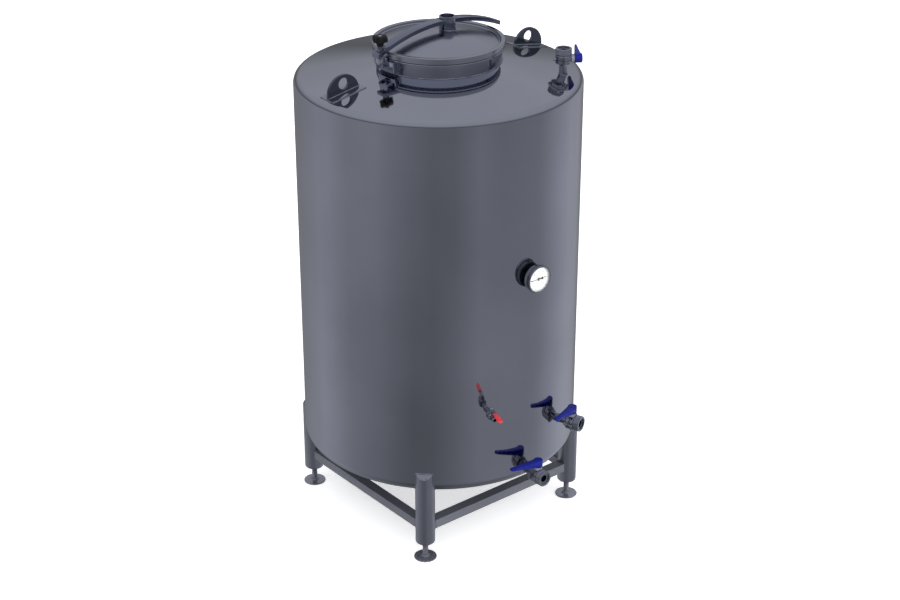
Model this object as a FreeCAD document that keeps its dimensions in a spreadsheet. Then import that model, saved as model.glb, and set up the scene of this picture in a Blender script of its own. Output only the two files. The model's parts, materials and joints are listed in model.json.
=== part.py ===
"""A 1000 litre stainless steel tank on four legs, with a hinged manway, valves and a dial thermometer.

Millimetres. The origin is on the floor at the tank's axis, +Z is up and -Y is the front,
where the drain and the thermometer are. An azimuth is measured from the front towards +X.
"""
import FreeCAD
import Part

import math
import os
import re

import Sketcher
from FreeCAD import Placement, Rotation, Vector

doc = FreeCAD.newDocument("StainlessTank")
sheet = doc.addObject("Spreadsheet::Sheet", "Sizes")

DRIVING = {
    # tank
    "tank_radius": 500, "wall": 3, "tank_base": 275, "tank_height": 1387,
    "low_knuckle": 40, "top_knuckle": 27, "roof_slope": 10, "floor_rise": 15,
    # stand
    "leg_axis": 482, "leg_radius": 35, "leg_wall": 3, "leg_foot": 73, "leg_top": 353,
    "plug_rim": 8, "plug_depth": 16, "plug_round": 7,
    "bar_width": 40, "bar_depth": 35, "bar_wall": 3, "bar_top": 149,
    "pad_radius": 41, "pad_edge": 5, "pad_hub": 14, "pad_hub_top": 13,
    "spindle_radius": 10, "spindle_top": 150, "nut_flats": 30, "nut_depth": 10,
    "running": 0.05,
    # manway
    "neck_radius": 218, "neck_wall": 3, "neck_top": 96, "neck_dip": 12,
    "flange_radius": 227, "flange_depth": 6,
    "lid_radius": 229, "lid_low": 99, "lid_high": 119, "lid_crown": 146, "lid_plate": 2.5,
    "rim_inner": 213, "rim_hollow": 6, "lid_valley": 108, "lid_round": 4,
    "gasket_low": 96.3, "gasket_gap": 0.2,
    "boss_shift": 39, "boss_radius": 28, "boss_bore": 23, "boss_top": 191, "boss_floor": 165,
    "arch_radius": 650, "arch_crown": 184, "arch_shift": 12, "arch_depth": 14.5, "arch_width": 38,
    "arch_front_end": 270, "arch_rear_end": 262,
    "hinge_out": 242, "hinge_up": 94, "barrel_radius": 8, "pin_radius": 4, "pin_overhang": 4,
    "hinge_width": 38, "leaf_high": 108, "leaf_depth": 5, "ear_radius": 9.5, "ear_depth": 5, "ear_gap": 1.5,
    "clamp_out": 249, "screw_radius": 6, "screw_tip": 92, "screw_room": 1,
    "sleeve_radius": 11, "sleeve_low": 109, "sleeve_high": 138,
    "knob_low": 141, "knob_waist": 157, "knob_high": 178, "knob_neck": 11, "knob_core": 19,
    "lobe_radius": 8.5, "lobe_circle": 19.5, "lobe_count": 6,
    "saddle_radius": 236, "saddle_low": 54, "saddle_width": 97, "ledge_low": 78, "ledge_width": 34,
    "clamp_boss_radius": 15, "clamp_boss_low": 68, "clamp_boss_high": 101,
    # lifting lugs
    "lug_radius": 64, "lug_out": 406, "lug_depth": 10, "eye_height": 33, "eye_radius": 20,
    "pad_inner": 338, "pad_outer": 474, "pad_width": 73, "pad_plate": 3,
    # butterfly valves, along the flow from the tank's surface
    "pipe_radius": 14.5, "bore_radius": 13, "pipe_inside": 10, "socket_start": 32, "socket_radius": 18,
    "flange_start": 39, "seal_start": 53, "seal_end": 55, "flange_end": 68, "disc_place": 54,
    "valve_radius": 28.5, "seal_radius": 28, "sleeve_bore": 16, "sleeve_reach": 8,
    "thread_neck": 25, "thread_start": 71.5, "thread_radius": 28.5, "valve_length": 92,
    "mouth_radius": 20.5, "mouth_depth": 6,
    "disc_radius": 12.6, "disc_depth": 3, "stem_radius": 4, "stem_low": 30,
    "bush_radius": 15, "bush_top": 36, "cap_radius": 7, "cap_reach": 34,
    "bolt_circle": 28.5, "bolt_radius": 3, "bolt_lug": 6.5, "bolt_head": 5, "bolt_head_depth": 5,
    "handle_low": 36.5, "handle_high": 64, "handle_hub": 16.5, "handle_length": 129, "handle_tip": 9,
    "handle_grip": 19, "handle_rise": 8,
    "drain_azimuth": 0, "drain_height": 309, "outlet_azimuth": 20, "outlet_height": 444,
    "top_valve_azimuth": 44, "top_valve_out": 428, "top_valve_turn": 15,
    # thermometer, along its axis from the wall
    "gauge_azimuth": 0, "gauge_height": 1068, "well_radius": 6, "well_inside": 120,
    "well_collar": 14, "well_collar_length": 11, "case_start": 11, "case_radius": 46, "case_round": 6,
    "bezel_start": 30, "bezel_radius": 49.5, "bezel_end": 43, "dial_place": 34, "dial_plate": 1.5,
    "dial_radius": 44.5, "glass_place": 39.5, "glass_plate": 1.5,
    "pointer_place": 36.4, "pointer_plate": 1, "pointer_length": 36, "pointer_tail": 16,
    "pointer_width": 2.4, "pointer_hub": 5, "pointer_weight": 4.2, "pointer_pin": 1.5,
    # sampling valve, along its axis from the wall
    "sample_azimuth": -20, "sample_height": 600, "sample_tube": 9, "sample_block": 13,
    "block_start": 34, "block_end": 62, "sample_length": 86, "sample_bore": 5, "sample_mouth": 6,
    "sample_ball": 9,
    "ball_place": 48, "sample_stem": 3, "stem_high": 26, "gland_radius": 7, "gland_high": 21,
    "lever_low": 22, "lever_plate": 3, "lever_width": 12, "lever_back": 8, "lever_end": 138,
    "grip_start": 84, "grip_end": 145, "grip_width": 17, "grip_depth": 9,
}

for row, (alias, number) in enumerate(DRIVING.items(), start=1):
    sheet.set(f"A{row}", alias)
    sheet.set(f"B{row}", str(number))
    sheet.setAlias(f"B{row}", alias)
doc.recompute()

FUNCTIONS = ("sin", "cos", "tan", "sqrt")

# Formulas that several sub-parts share.
TANK_TOP = "(tank_base + tank_height)"
SHOULDER = "(tank_base + tank_height - top_knuckle * cos(roof_slope))"
CONE_START = "(tank_radius - top_knuckle + top_knuckle * sin(roof_slope))"
ROOF_PLATE = "(wall / cos(roof_slope))"


def roof_at(radius):
    """The height of the roof's upper side at a distance from the axis."""
    return f"({TANK_TOP} + ({CONE_START} - {radius}) * tan(roof_slope))"


def above_tank(level):
    """A height counted from the roof's shoulder, as the manway's are."""
    return f"({TANK_TOP} + {level})"


def linked(formula):
    """The formula with the sheet's name before each alias, for use in another object."""
    def link(match):
        word = match.group()
        return word if word in FUNCTIONS else "Sizes." + word
    return re.sub(r"[a-z][a-z_]+", link, str(formula))


def value(formula):
    """The number that a formula over the sheet's aliases gives."""
    result = sheet.evalExpression(str(formula))
    return float(getattr(result, "Value", result))


def bind(target, prop, formula):
    target.setExpression(prop, linked(formula))


def place(target, x=0, y=0, z=0, rotation=None):
    """Puts an object at bound coordinates, turned by a rotation."""
    target.Placement = Placement(Vector(value(x), value(y), value(z)), rotation or Rotation())
    for axis, formula in zip("xyz", (x, y, z)):
        bind(target, f"Placement.Base.{axis}", formula)
    return target


ALONG_X = Rotation(Vector(0, 1, 0), 90)
ALONG_Y = Rotation(Vector(1, 0, 0), -90)


def cylinder(name, radius, length, x=0, y=0, z=0, rotation=None):
    target = doc.addObject("Part::Cylinder", name)
    bind(target, "Radius", radius)
    bind(target, "Height", length)
    return place(target, x, y, z, rotation)


def box(name, size, x=0, y=0, z=0, rotation=None):
    """A box centred on x and y, standing on z."""
    target = doc.addObject("Part::Box", name)
    for prop, formula in zip(("Length", "Width", "Height"), size):
        bind(target, prop, formula)
    return place(target, f"{x} - ({size[0]}) / 2", f"{y} - ({size[1]}) / 2", z, rotation)


def hexagon(name, flats, depth, x=0, y=0, z=0, rotation=None):
    target = doc.addObject("Part::Prism", name)
    target.Polygon = 6
    bind(target, "Circumradius", f"({flats}) / sqrt(3)")
    bind(target, "Height", depth)
    return place(target, x, y, z, rotation)


def cut(name, base, *tools):
    """The base without the tools."""
    target = doc.addObject("Part::Cut", name)
    target.Base = base
    target.Tool = tools[0] if len(tools) == 1 else group(name + "_tools", *tools)
    return target


def group(name, *shapes):
    """Several shapes as one object: joined where they touch, separate where they don't."""
    target = doc.addObject("Part::MultiFuse", name)
    target.Shapes = list(shapes)
    return target


def common(name, first, second):
    target = doc.addObject("Part::MultiCommon", name)
    target.Shapes = [first, second]
    return target


def copy_of(name, source, placement=None):
    """Another instance of a shape, which follows its source."""
    target = doc.addObject("Part::Compound", name)
    target.Links = [source]
    if placement is not None:
        target.Placement = placement
    return target


def origin_plane(body, role):
    return next(feature for feature in body.Origin.OriginFeatures if feature.Role == role)


def draw(body, plane, outline):
    """A closed outline on an origin plane: corners (x, y), or (x, y, radius) to start an arc.

    An arc runs to the next corner, counter-clockwise for a radius with no minus sign.
    """
    sketch = body.newObject("Sketcher::SketchObject", body.Name + "_outline")
    sketch.AttachmentSupport = (origin_plane(body, plane), [""])
    sketch.MapMode = "FlatFace"
    points = [Vector(value(corner[0]), value(corner[1]), 0) for corner in outline]
    starts = []
    ends = []
    for index, corner in enumerate(outline):
        here = points[index]
        there = points[(index + 1) % len(points)]
        if len(corner) == 2:
            sketch.addGeometry(Part.LineSegment(here, there))
            starts.append((index, 1))
            ends.append((index, 2))
            continue
        backwards = str(corner[2]).startswith("-")
        radius = value(str(corner[2]).lstrip("-"))
        first, last = (there, here) if backwards else (here, there)
        sketch.addGeometry(arc_between(first, last, radius))
        starts.append((index, 2 if backwards else 1))
        ends.append((index, 1 if backwards else 2))
    for index, end in enumerate(ends):
        following = starts[(index + 1) % len(starts)]
        sketch.addConstraint(Sketcher.Constraint("Coincident", *end, *following))
    for index, corner in enumerate(outline):
        constrain_corner(sketch, starts[index], corner)
        if len(corner) == 3:
            radius = str(corner[2]).lstrip("-")
            number = sketch.addConstraint(Sketcher.Constraint("Radius", index, value(radius)))
            bind(sketch, f"Constraints[{number}]", radius)
    return sketch


def arc_between(first, last, radius):
    """The shorter counter-clockwise arc from one point to another."""
    chord = last - first
    half = chord.Length / 2
    rise = math.sqrt(max(radius * radius - half * half, 0))
    normal = Vector(-chord.y, chord.x, 0).normalize()
    centre = first + chord * 0.5 + normal * rise
    circle = Part.Circle(centre, Vector(0, 0, 1), radius)
    angles = [math.atan2(point.y - centre.y, point.x - centre.x) for point in (first, last)]
    return Part.ArcOfCircle(circle, angles[0], angles[1])


def constrain_corner(sketch, vertex, corner):
    """Holds a corner at its bound coordinates, or on an axis where a coordinate is 0."""
    for kind, axis, formula in (("DistanceX", -2, corner[0]), ("DistanceY", -1, corner[1])):
        if str(formula) == "0":
            sketch.addConstraint(Sketcher.Constraint("PointOnObject", *vertex, axis))
            continue
        number = sketch.addConstraint(Sketcher.Constraint(kind, -1, 1, *vertex, value(formula)))
        bind(sketch, f"Constraints[{number}]", formula)


def turned(name, outline):
    """A body turned about Z from an outline of corners (radius, height)."""
    body = doc.addObject("PartDesign::Body", name)
    sketch = draw(body, "XZ_Plane", outline)
    feature = body.newObject("PartDesign::Revolution", name + "_turn")
    feature.Profile = sketch
    feature.ReferenceAxis = (sketch, ["V_Axis"])
    feature.Angle = 360
    body.Tip = feature
    sketch.Visibility = False
    return body


def plate(name, outline, thickness, plane="XZ_Plane"):
    """A plate of even thickness, half of it on each side of the plane."""
    body = doc.addObject("PartDesign::Body", name)
    sketch = draw(body, plane, outline)
    feature = body.newObject("PartDesign::Pad", name + "_pad")
    feature.Profile = sketch
    feature.Midplane = True
    bind(feature, "Length", thickness)
    body.Tip = feature
    return body


def ring(name, inner, outer, low, high):
    """A plain ring about Z."""
    return turned(name, [(inner, low), (outer, low), (outer, high), (inner, high)])


NODES = {}


def node(name, target, placement=None):
    """Names a finished sub-part, and puts it in its place."""
    target.Label = name
    if placement is not None:
        target.Placement = placement
    NODES[name] = target
    return target


def around(azimuth):
    """A turn about the tank's axis that brings +X to an azimuth."""
    return Placement(Vector(), Rotation(Vector(0, 0, 1), value(azimuth) - 90))


def on_wall(azimuth, height):
    """The frame of a fitting on the wall: its Z runs outwards and its X runs up."""
    outward = Placement(Vector(value("tank_radius"), 0, value(height)), Rotation(0, 0, 0))
    upright = Placement(Vector(), Rotation(Vector(0, 0, 1), Vector(0, -1, 0), Vector(1, 0, 0), "ZXY"))
    return around(azimuth).multiply(outward).multiply(upright)


def on_roof(azimuth, out, turn):
    """The frame of a fitting on the roof: its Z runs up, and its X runs outwards, then turned about Z."""
    spun = Rotation(Vector(0, 0, 1), value(turn))
    return around(azimuth).multiply(Placement(Vector(value(out), 0, value(roof_at(out))), spun))


def valve_frames():
    return {
        "drain_valve": on_wall("drain_azimuth", "drain_height"),
        "side_valve": on_wall("outlet_azimuth", "outlet_height"),
        "top_valve": on_roof("top_valve_azimuth", "top_valve_out", "top_valve_turn")}


# ---------------------------------------------------------------- tank


def tank_outline(shrink="0", plate_shrink="0"):
    """The upper outline of the roof from the shoulder inwards, shrunk by the plate's thickness."""
    return [
        (f"tank_radius - {shrink}", SHOULDER),
        (f"{CONE_START} - {shrink} * sin(roof_slope)", f"{TANK_TOP} - {shrink} * cos(roof_slope)"),
        ("neck_radius", f"{roof_at('neck_radius')} - {plate_shrink}"),
    ]


def make_tank():
    outer = tank_outline()
    inner = tank_outline("wall", ROOF_PLATE)
    roof = turned("roof_turned", [
        (*outer[0], "top_knuckle"), outer[1], outer[2],
        inner[2], (*inner[1], "-(top_knuckle - wall)"), inner[0]])
    low_edge = "tank_base + low_knuckle"
    shell = ring("shell_turned", "tank_radius - wall", "tank_radius", low_edge, SHOULDER)
    bottom = turned("bottom_turned", [
        ("0", "tank_base + floor_rise"),
        ("tank_radius - low_knuckle", "tank_base", "low_knuckle"),
        ("tank_radius", low_edge),
        ("tank_radius - wall", low_edge, "-(low_knuckle - wall)"),
        ("tank_radius - low_knuckle", "tank_base + wall"),
        ("0", "tank_base + floor_rise + wall")])
    frames = valve_frames()
    drain_hole = pipe_hole("drain_hole", frames["drain_valve"], "pipe_radius")
    wall_holes = [
        pipe_hole("outlet_hole", frames["side_valve"], "pipe_radius"),
        pipe_hole("sample_hole", on_wall("sample_azimuth", "sample_height"), "sample_tube"),
        pipe_hole("gauge_hole", on_wall("gauge_azimuth", "gauge_height"), "well_radius"),
        copy_of("drain_hole_shell", drain_hole)]
    roof_hole = pipe_hole("roof_hole", frames["top_valve"], "pipe_radius")
    node("tank_roof", cut("roof_bored", roof, roof_hole))
    node("tank_shell", cut("shell_bored", shell, *wall_holes))
    node("tank_bottom", cut("bottom_bored", bottom, drain_hole))


def pipe_hole(name, frame, radius):
    """The hole that a pipe needs where it enters the tank, along Z of the pipe's frame."""
    hole = doc.addObject("Part::Cylinder", name)
    bind(hole, "Radius", radius)
    bind(hole, "Height", "6 * low_knuckle")
    back = Placement(Vector(0, 0, -value("3 * low_knuckle")), Rotation())
    hole.Placement = frame.multiply(back)
    return hole


def tank_solid(name):
    """The lower end of the tank as a full solid, for coping what is welded to it."""
    return turned(name, [
        ("0", "tank_base"),
        ("tank_radius - low_knuckle", "tank_base", "low_knuckle"),
        ("tank_radius", "tank_base + low_knuckle"),
        ("tank_radius", "2 * tank_base"),
        ("0", "2 * tank_base")])


# ---------------------------------------------------------------- stand

CORNERS = {"front_right": 45, "back_right": 135, "back_left": 225, "front_left": 315}
LEG_SPREAD = "(leg_axis / sqrt(2))"


def mitre(name, drop):
    """A block above the leg's sloping top, which is lower by the drop."""
    slant = Rotation(Vector(0, 1, 0), 45)
    block = doc.addObject("Part::Box", name)
    for prop in ("Length", "Width", "Height"):
        bind(block, prop, "8 * leg_radius")
    block.Placement = Placement(Vector(), slant)
    place(block, "tank_radius - 4 * leg_radius / sqrt(2)", "-4 * leg_radius",
          f"leg_top - {drop} + 4 * leg_radius / sqrt(2)", slant)
    return block


def make_legs():
    """Four round legs, coped onto the wall and closed by a sloping plate."""
    outside = cylinder("leg_outside", "leg_radius", "leg_top - leg_foot", "leg_axis", 0, "leg_foot")
    inside = cylinder("leg_inside", "leg_radius - leg_wall", "leg_top", "leg_axis", 0, 0)
    tank = tank_solid("tank_for_legs")
    slope_drop = "leg_wall * sqrt(2)"
    tube = cut("leg_tube", outside, inside, tank, mitre("leg_slope", slope_drop))
    column = cylinder("cap_column", "leg_radius", "leg_top - leg_foot", "leg_axis", 0, "leg_foot")
    cap_slab = cut("cap_slab", column, mitre("cap_slope", "0"), copy_of("tank_for_caps", tank))
    cap = common("cap_plate", cap_slab, mitre("cap_under", slope_drop))
    rim_low = "leg_foot - plug_rim"
    plug = turned("plug_turned", [
        ("spindle_radius + running", rim_low),
        ("leg_radius - plug_round", rim_low, "plug_round"),
        ("leg_radius", "leg_foot - plug_rim + plug_round"),
        ("leg_radius", "leg_foot"),
        ("leg_radius - leg_wall", "leg_foot"),
        ("leg_radius - leg_wall", "leg_foot + plug_depth"),
        ("spindle_radius + running", "leg_foot + plug_depth")])
    nut_hole = cylinder("nut_hole", "spindle_radius + running", "4 * nut_depth", 0, 0, "leg_foot - 3 * nut_depth")
    nut_solid = hexagon("nut_solid", "nut_flats", "nut_depth", 0, 0, f"{rim_low} - nut_depth")
    nut = cut("nut_bored", nut_solid, nut_hole)
    caps = []
    plugs = []
    nuts = []
    for corner, azimuth in CORNERS.items():
        turn = around(azimuth)
        axis = turn.multiply(Placement(Vector(value("leg_axis"), 0, 0), Rotation()))
        node("leg_" + corner, copy_of("leg_at_" + corner, tube, turn))
        caps.append(copy_of("cap_at_" + corner, cap, turn))
        plugs.append(copy_of("plug_at_" + corner, plug, axis))
        nuts.append(copy_of("nut_at_" + corner, nut, axis))
        node("foot_" + corner, make_foot(corner), axis)
    node("leg_caps", group("all_caps", *caps))
    node("leg_plugs", group("all_plugs", *plugs))
    node("foot_lock_nuts", group("all_nuts", *nuts))


def make_foot(corner):
    """A round levelling pad with its spindle."""
    return turned("foot_turned_" + corner, [
        ("0", "0"),
        ("pad_radius - 1", "0"),
        ("pad_radius", "1"),
        ("pad_radius", "pad_edge - 1"),
        ("pad_radius - 1", "pad_edge"),
        ("pad_hub", "pad_edge + 1"),
        ("pad_hub - 2", "pad_hub_top"),
        ("spindle_radius", "pad_hub_top"),
        ("spindle_radius", "spindle_top - 2"),
        ("spindle_radius - 2", "spindle_top"),
        ("0", "spindle_top")])


def make_crossbars():
    """Four rectangular tubes between neighbouring legs, coped onto them."""
    posts = [cylinder("post_" + corner, "leg_radius", "leg_top",
                      f"leg_axis * sin({azimuth})", f"-leg_axis * cos({azimuth})", 0)
             for corner, azimuth in CORNERS.items()]
    all_posts = group("posts", *posts)
    low = "bar_top - bar_depth"
    for side, azimuth in {"front": 0, "right": 90, "back": 180, "left": 270}.items():
        outside = box("bar_outside_" + side, (f"2 * {LEG_SPREAD}", "bar_width", "bar_depth"), 0,
                      f"-{LEG_SPREAD}", low)
        inside = box("bar_inside_" + side,
                     (f"3 * {LEG_SPREAD}", "bar_width - 2 * bar_wall", "bar_depth - 2 * bar_wall"), 0,
                     f"-{LEG_SPREAD}", f"{low} + bar_wall")
        tube = cut("bar_" + side, outside, inside, copy_of("posts_" + side, all_posts))
        node("crossbar_" + side, tube, Placement(Vector(), Rotation(Vector(0, 0, 1), azimuth)))


# ---------------------------------------------------------------- manway


def arch_height(radius, at):
    """The height at a distance along X of a circle over the lid that shares the arch's centre."""
    return (f"({above_tank('arch_crown')} - arch_radius"
            f" + sqrt(({radius})^2 - ({at} - arch_shift)^2))")


LID_RISE = "(lid_crown - lid_valley)"
DOME_EDGE = "(rim_inner - rim_hollow)"
DOME = f"(({DOME_EDGE}^2 + {LID_RISE}^2) / (2 * {LID_RISE}))"


def make_manway_neck():
    neck_low = f"{roof_at('neck_radius')} - neck_dip"
    neck_high = above_tank("neck_top")
    node("manway_neck", ring("neck", "neck_radius - neck_wall", "neck_radius", neck_low, neck_high))
    flange_low = above_tank("(neck_top - flange_depth)")
    node("manway_flange", ring("flange", "neck_radius", "flange_radius", flange_low, neck_high))


def make_lid():
    """A dome that sits a little below the top of its rim, with the gasket inside the rim."""
    low = above_tank("lid_low")
    high = above_tank("lid_high")
    valley = above_tank("lid_valley")
    under = above_tank("(lid_high - lid_plate)")
    lip = "lid_radius - lid_plate"
    node("manway_lid", turned("lid", [
        ("lid_radius", low),
        ("lid_radius", f"{high} - lid_round", "lid_round"),
        ("lid_radius - lid_round", high),
        ("rim_inner + lid_round", high, "lid_round"),
        ("rim_inner", f"{high} - lid_round"),
        ("rim_inner", f"{valley} + rim_hollow", "-rim_hollow"),
        (DOME_EDGE, valley, DOME),
        ("0", above_tank("lid_crown")),
        ("0", above_tank("(lid_crown - lid_plate)"), f"-{DOME}"),
        (DOME_EDGE, f"{valley} - lid_plate", "(rim_hollow + lid_plate)"),
        ("rim_inner + lid_plate", f"{valley} + rim_hollow"),
        ("rim_inner + lid_plate", under),
        (lip, under),
        (lip, low)]))
    gasket_bore = "rim_inner + lid_plate + gasket_gap"
    node("manway_gasket", ring("gasket", gasket_bore, f"{lip} - gasket_gap", above_tank("gasket_low"), under))
    boss = cylinder("boss_solid", "boss_radius", "boss_top - lid_high", "boss_shift", 0, high)
    socket = cylinder("boss_socket", "boss_bore", "boss_top", "boss_shift", 0, above_tank("boss_floor"))
    dome = turned("dome_for_boss", [
        ("0", valley), (DOME_EDGE, valley, DOME), ("0", above_tank("lid_crown"))])
    node("lid_boss", cut("boss_bored", boss, socket, dome))


def arch_strap(name, start, finish):
    """A bent strap over the lid between two distances along X."""
    under = "arch_radius - arch_depth"
    return plate(name, [
        (start, arch_height(under, start)),
        (start, arch_height("arch_radius", start), "-arch_radius"),
        (finish, arch_height("arch_radius", finish)),
        (finish, arch_height(under, finish), f"({under})")], "arch_width")


def make_arch():
    boss_hole = cylinder("arch_boss_hole", "boss_radius", "boss_top", "boss_shift", 0, TANK_TOP)
    sleeve_hole = cylinder("arch_sleeve_hole", "sleeve_radius", "boss_top", "-clamp_out", 0, TANK_TOP)
    front = arch_strap("arch_front_strap", "-arch_front_end", "boss_shift")
    node("arch_front", cut("arch_front_cut", front, boss_hole, sleeve_hole))
    rear = arch_strap("arch_rear_strap", "boss_shift", "arch_rear_end")
    node("arch_rear", cut("arch_rear_cut", rear, copy_of("arch_boss_hole_rear", boss_hole)))
    sleeve = cylinder("sleeve", "sleeve_radius", "sleeve_high - sleeve_low", "-clamp_out", 0,
                      above_tank("sleeve_low"))
    sleeve_bore = cylinder("sleeve_bore_tool", "screw_radius + running", "boss_top", "-clamp_out", 0, TANK_TOP)
    node("clamp_sleeve", cut("sleeve_bored", sleeve, sleeve_bore))


def hinge_cylinder(name, radius, length):
    """A cylinder on the hinge's axis, centred on the arch."""
    return cylinder(name, radius, length, "hinge_out", f"-({length}) / 2", above_tank("hinge_up"), ALONG_Y)


def make_hinge():
    """The barrel with its leaf on the lid's rim, two ears welded to the neck, and the pin."""
    barrel = hinge_cylinder("barrel", "barrel_radius", "hinge_width")
    leaf = box("hinge_leaf", ("leaf_depth + hinge_out - lid_radius", "hinge_width", "leaf_high - hinge_up"),
               "(hinge_out + lid_radius - leaf_depth) / 2", 0, above_tank("hinge_up"))
    lid = cylinder("lid_for_leaf", "lid_radius", "tank_height", 0, 0, TANK_TOP)
    barrel_bore = hinge_cylinder("barrel_bore", "pin_radius + running", "2 * hinge_width")
    node("hinge_barrel", cut("barrel_bored", group("barrel_and_leaf", barrel, leaf), lid, barrel_bore))
    inner = "hinge_width / 2 + ear_gap"
    ear_middle = f"({inner} + ear_depth / 2)"
    under_flange = above_tank("(neck_top - flange_depth - 1)")
    outline = [
        ("neck_radius - 20", above_tank("50")),
        ("neck_radius - 5", above_tank("50")),
        ("hinge_out + ear_radius * sin(60)", above_tank("(hinge_up - ear_radius * cos(60))"), "ear_radius"),
        ("hinge_out - ear_radius * sin(60)", above_tank("(hinge_up + ear_radius * cos(60))")),
        ("flange_radius + 3", under_flange),
        ("neck_radius - 20", under_flange)]
    neck = cylinder("neck_for_ears", "neck_radius", "tank_height", 0, 0, TANK_TOP)
    holes = hinge_cylinder("ear_holes", "pin_radius", "4 * hinge_width")
    ears = []
    for side, sign in (("front", "-"), ("back", "")):
        ear = plate("ear_" + side, outline, "ear_depth")
        place(ear, 0, f"{sign}{ear_middle}", 0)
        ears.append(ear)
    node("hinge_ears", cut("ears_bored", group("ears", *ears), neck, holes))
    span = f"2 * ({inner} + ear_depth + pin_overhang)"
    node("hinge_pin", hinge_cylinder("pin", "pin_radius", span))


def make_clamp():
    """The saddle on the neck with its screw boss, the screw, and the lobed knob."""
    saddle_ring = ring("saddle_ring", "neck_radius", "saddle_radius", above_tank("saddle_low"),
                       above_tank("(neck_top - flange_depth)"))
    saddle_zone = box("saddle_zone", ("neck_radius", "saddle_width", "tank_height"),
                      "-neck_radius", 0, "tank_base + tank_height")
    saddle = common("saddle", saddle_ring, saddle_zone)
    ledge_depth = "neck_top - flange_depth - ledge_low"
    ledge = box("ledge", ("clamp_out - saddle_radius + 4", "ledge_width", ledge_depth),
                "-(clamp_out + saddle_radius - 4) / 2", 0, above_tank("ledge_low"))
    boss = cylinder("clamp_boss", "clamp_boss_radius", "clamp_boss_high - clamp_boss_low", "-clamp_out", 0,
                    above_tank("clamp_boss_low"))
    bore = cylinder("clamp_bore", "screw_radius + screw_room", "tank_height", "-clamp_out", 0, TANK_TOP)
    node("clamp_bracket", cut("clamp_bored", group("clamp_solid", saddle, ledge, boss), bore))
    screw_low = above_tank("screw_tip")
    screw_high = above_tank("knob_waist")
    screw = turned("screw", [
        ("0", screw_low),
        ("screw_radius - 1", screw_low),
        ("screw_radius", f"{screw_low} + 1"),
        ("screw_radius", screw_high),
        ("0", screw_high)])
    at_clamp = Placement(Vector(-value("clamp_out"), 0, 0), Rotation())
    node("clamp_screw", screw, at_clamp)
    core = turned("knob_core_turned", [
        ("0", above_tank("knob_low")),
        ("knob_neck", above_tank("knob_low")),
        ("knob_core", above_tank("knob_waist")),
        ("knob_core", above_tank("(knob_high - 4)"), "4"),
        ("knob_core - 4", above_tank("knob_high")),
        ("0", above_tank("knob_high"))])
    lobes = []
    for index in range(int(value("lobe_count"))):
        angle = f"({index} * 360 / lobe_count)"
        lobes.append(cylinder(f"lobe_{index}", "lobe_radius", "knob_high - knob_waist - 3",
                              f"lobe_circle * cos({angle})", f"lobe_circle * sin({angle})",
                              above_tank("knob_waist")))
    socket = cylinder("knob_socket", "screw_radius", "knob_waist", 0, 0, TANK_TOP)
    node("star_knob", cut("knob_bored", group("knob_solid", core, *lobes), socket), at_clamp)


# ---------------------------------------------------------------- lifting lugs


def make_lugs():
    """Two half-round upright plates with an eye, each on a pad that follows the roof."""
    lug_base = roof_at("lug_out")
    pad_cone = turned("pad_cone", [
        ("pad_inner", roof_at("pad_inner")),
        ("pad_outer", roof_at("pad_outer")),
        ("pad_outer", f"{roof_at('pad_outer')} + pad_plate"),
        ("pad_inner", f"{roof_at('pad_inner')} + pad_plate")])
    roof_full = turned("roof_under_lugs", [
        ("0", "tank_height"),
        ("tank_radius", "tank_height"),
        ("tank_radius", f"{roof_at('tank_radius')} + pad_plate"),
        ("0", f"{roof_at('0')} + pad_plate")])
    pads = []
    for side, sign in (("left", "-"), ("right", "")):
        zone = box("pad_zone_" + side, ("tank_radius", "pad_width", "tank_height"),
                   f"{sign}tank_radius / 2", 0, "tank_height")
        pads.append(common("pad_" + side, copy_of("pad_cone_" + side, pad_cone), zone))
        disc = cylinder("lug_disc_" + side, "lug_radius", "lug_depth", f"{sign}lug_out", "-lug_depth / 2",
                        lug_base, ALONG_Y)
        eye = cylinder("lug_eye_" + side, "eye_radius", "4 * lug_depth", f"{sign}lug_out", "-2 * lug_depth",
                       f"{lug_base} + eye_height", ALONG_Y)
        node("lifting_lug_" + side, cut("lug_" + side, disc, eye, copy_of("roof_for_" + side, roof_full)))
    node("lug_pads", group("both_pads", *pads))


# ---------------------------------------------------------------- butterfly valves


def valve_cylinder(name, radius, start, finish):
    """A cylinder along the stem's axis, X in the valve's own frame."""
    return cylinder(name, radius, f"({finish}) - ({start})", start, 0, "disc_place", ALONG_X)


def valve_bolts(name, radius, start, finish):
    """Two cylinders along the flow, one on each side of the valve."""
    return group(name, *[
        cylinder(f"{name}_{side}", radius, f"({finish}) - ({start})", 0, f"{sign}bolt_circle", start)
        for side, sign in (("left", "-"), ("right", ""))])


def valve_half(name, outline, start, finish, seat_start, seat_finish):
    """One half of a valve's body: turned, with two bolt lugs, bored for the stem and the bolts.

    The bolts' heads and nuts stand on flat seats, which are cut away between the last two levels.
    """
    body = turned(name + "_turned", outline)
    lugs = valve_bolts(name + "_lugs", "bolt_lug", start, finish)
    passage = cylinder(name + "_passage", "seal_radius", "2 * valve_length", 0, 0, "-valve_length / 2")
    outer_lugs = cut(name + "_outer_lugs", lugs, passage)
    stem = valve_cylinder(name + "_stem_bore", "stem_radius + running", "-2 * valve_radius", "2 * valve_radius")
    holes = valve_bolts(name + "_bolt_holes", "bolt_radius", start, finish)
    seats = valve_bolts(name + "_seats", "bolt_lug", seat_start, seat_finish)
    return cut(name + "_bored", group(name + "_solid", body, outer_lugs), stem, holes, seats)


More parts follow.
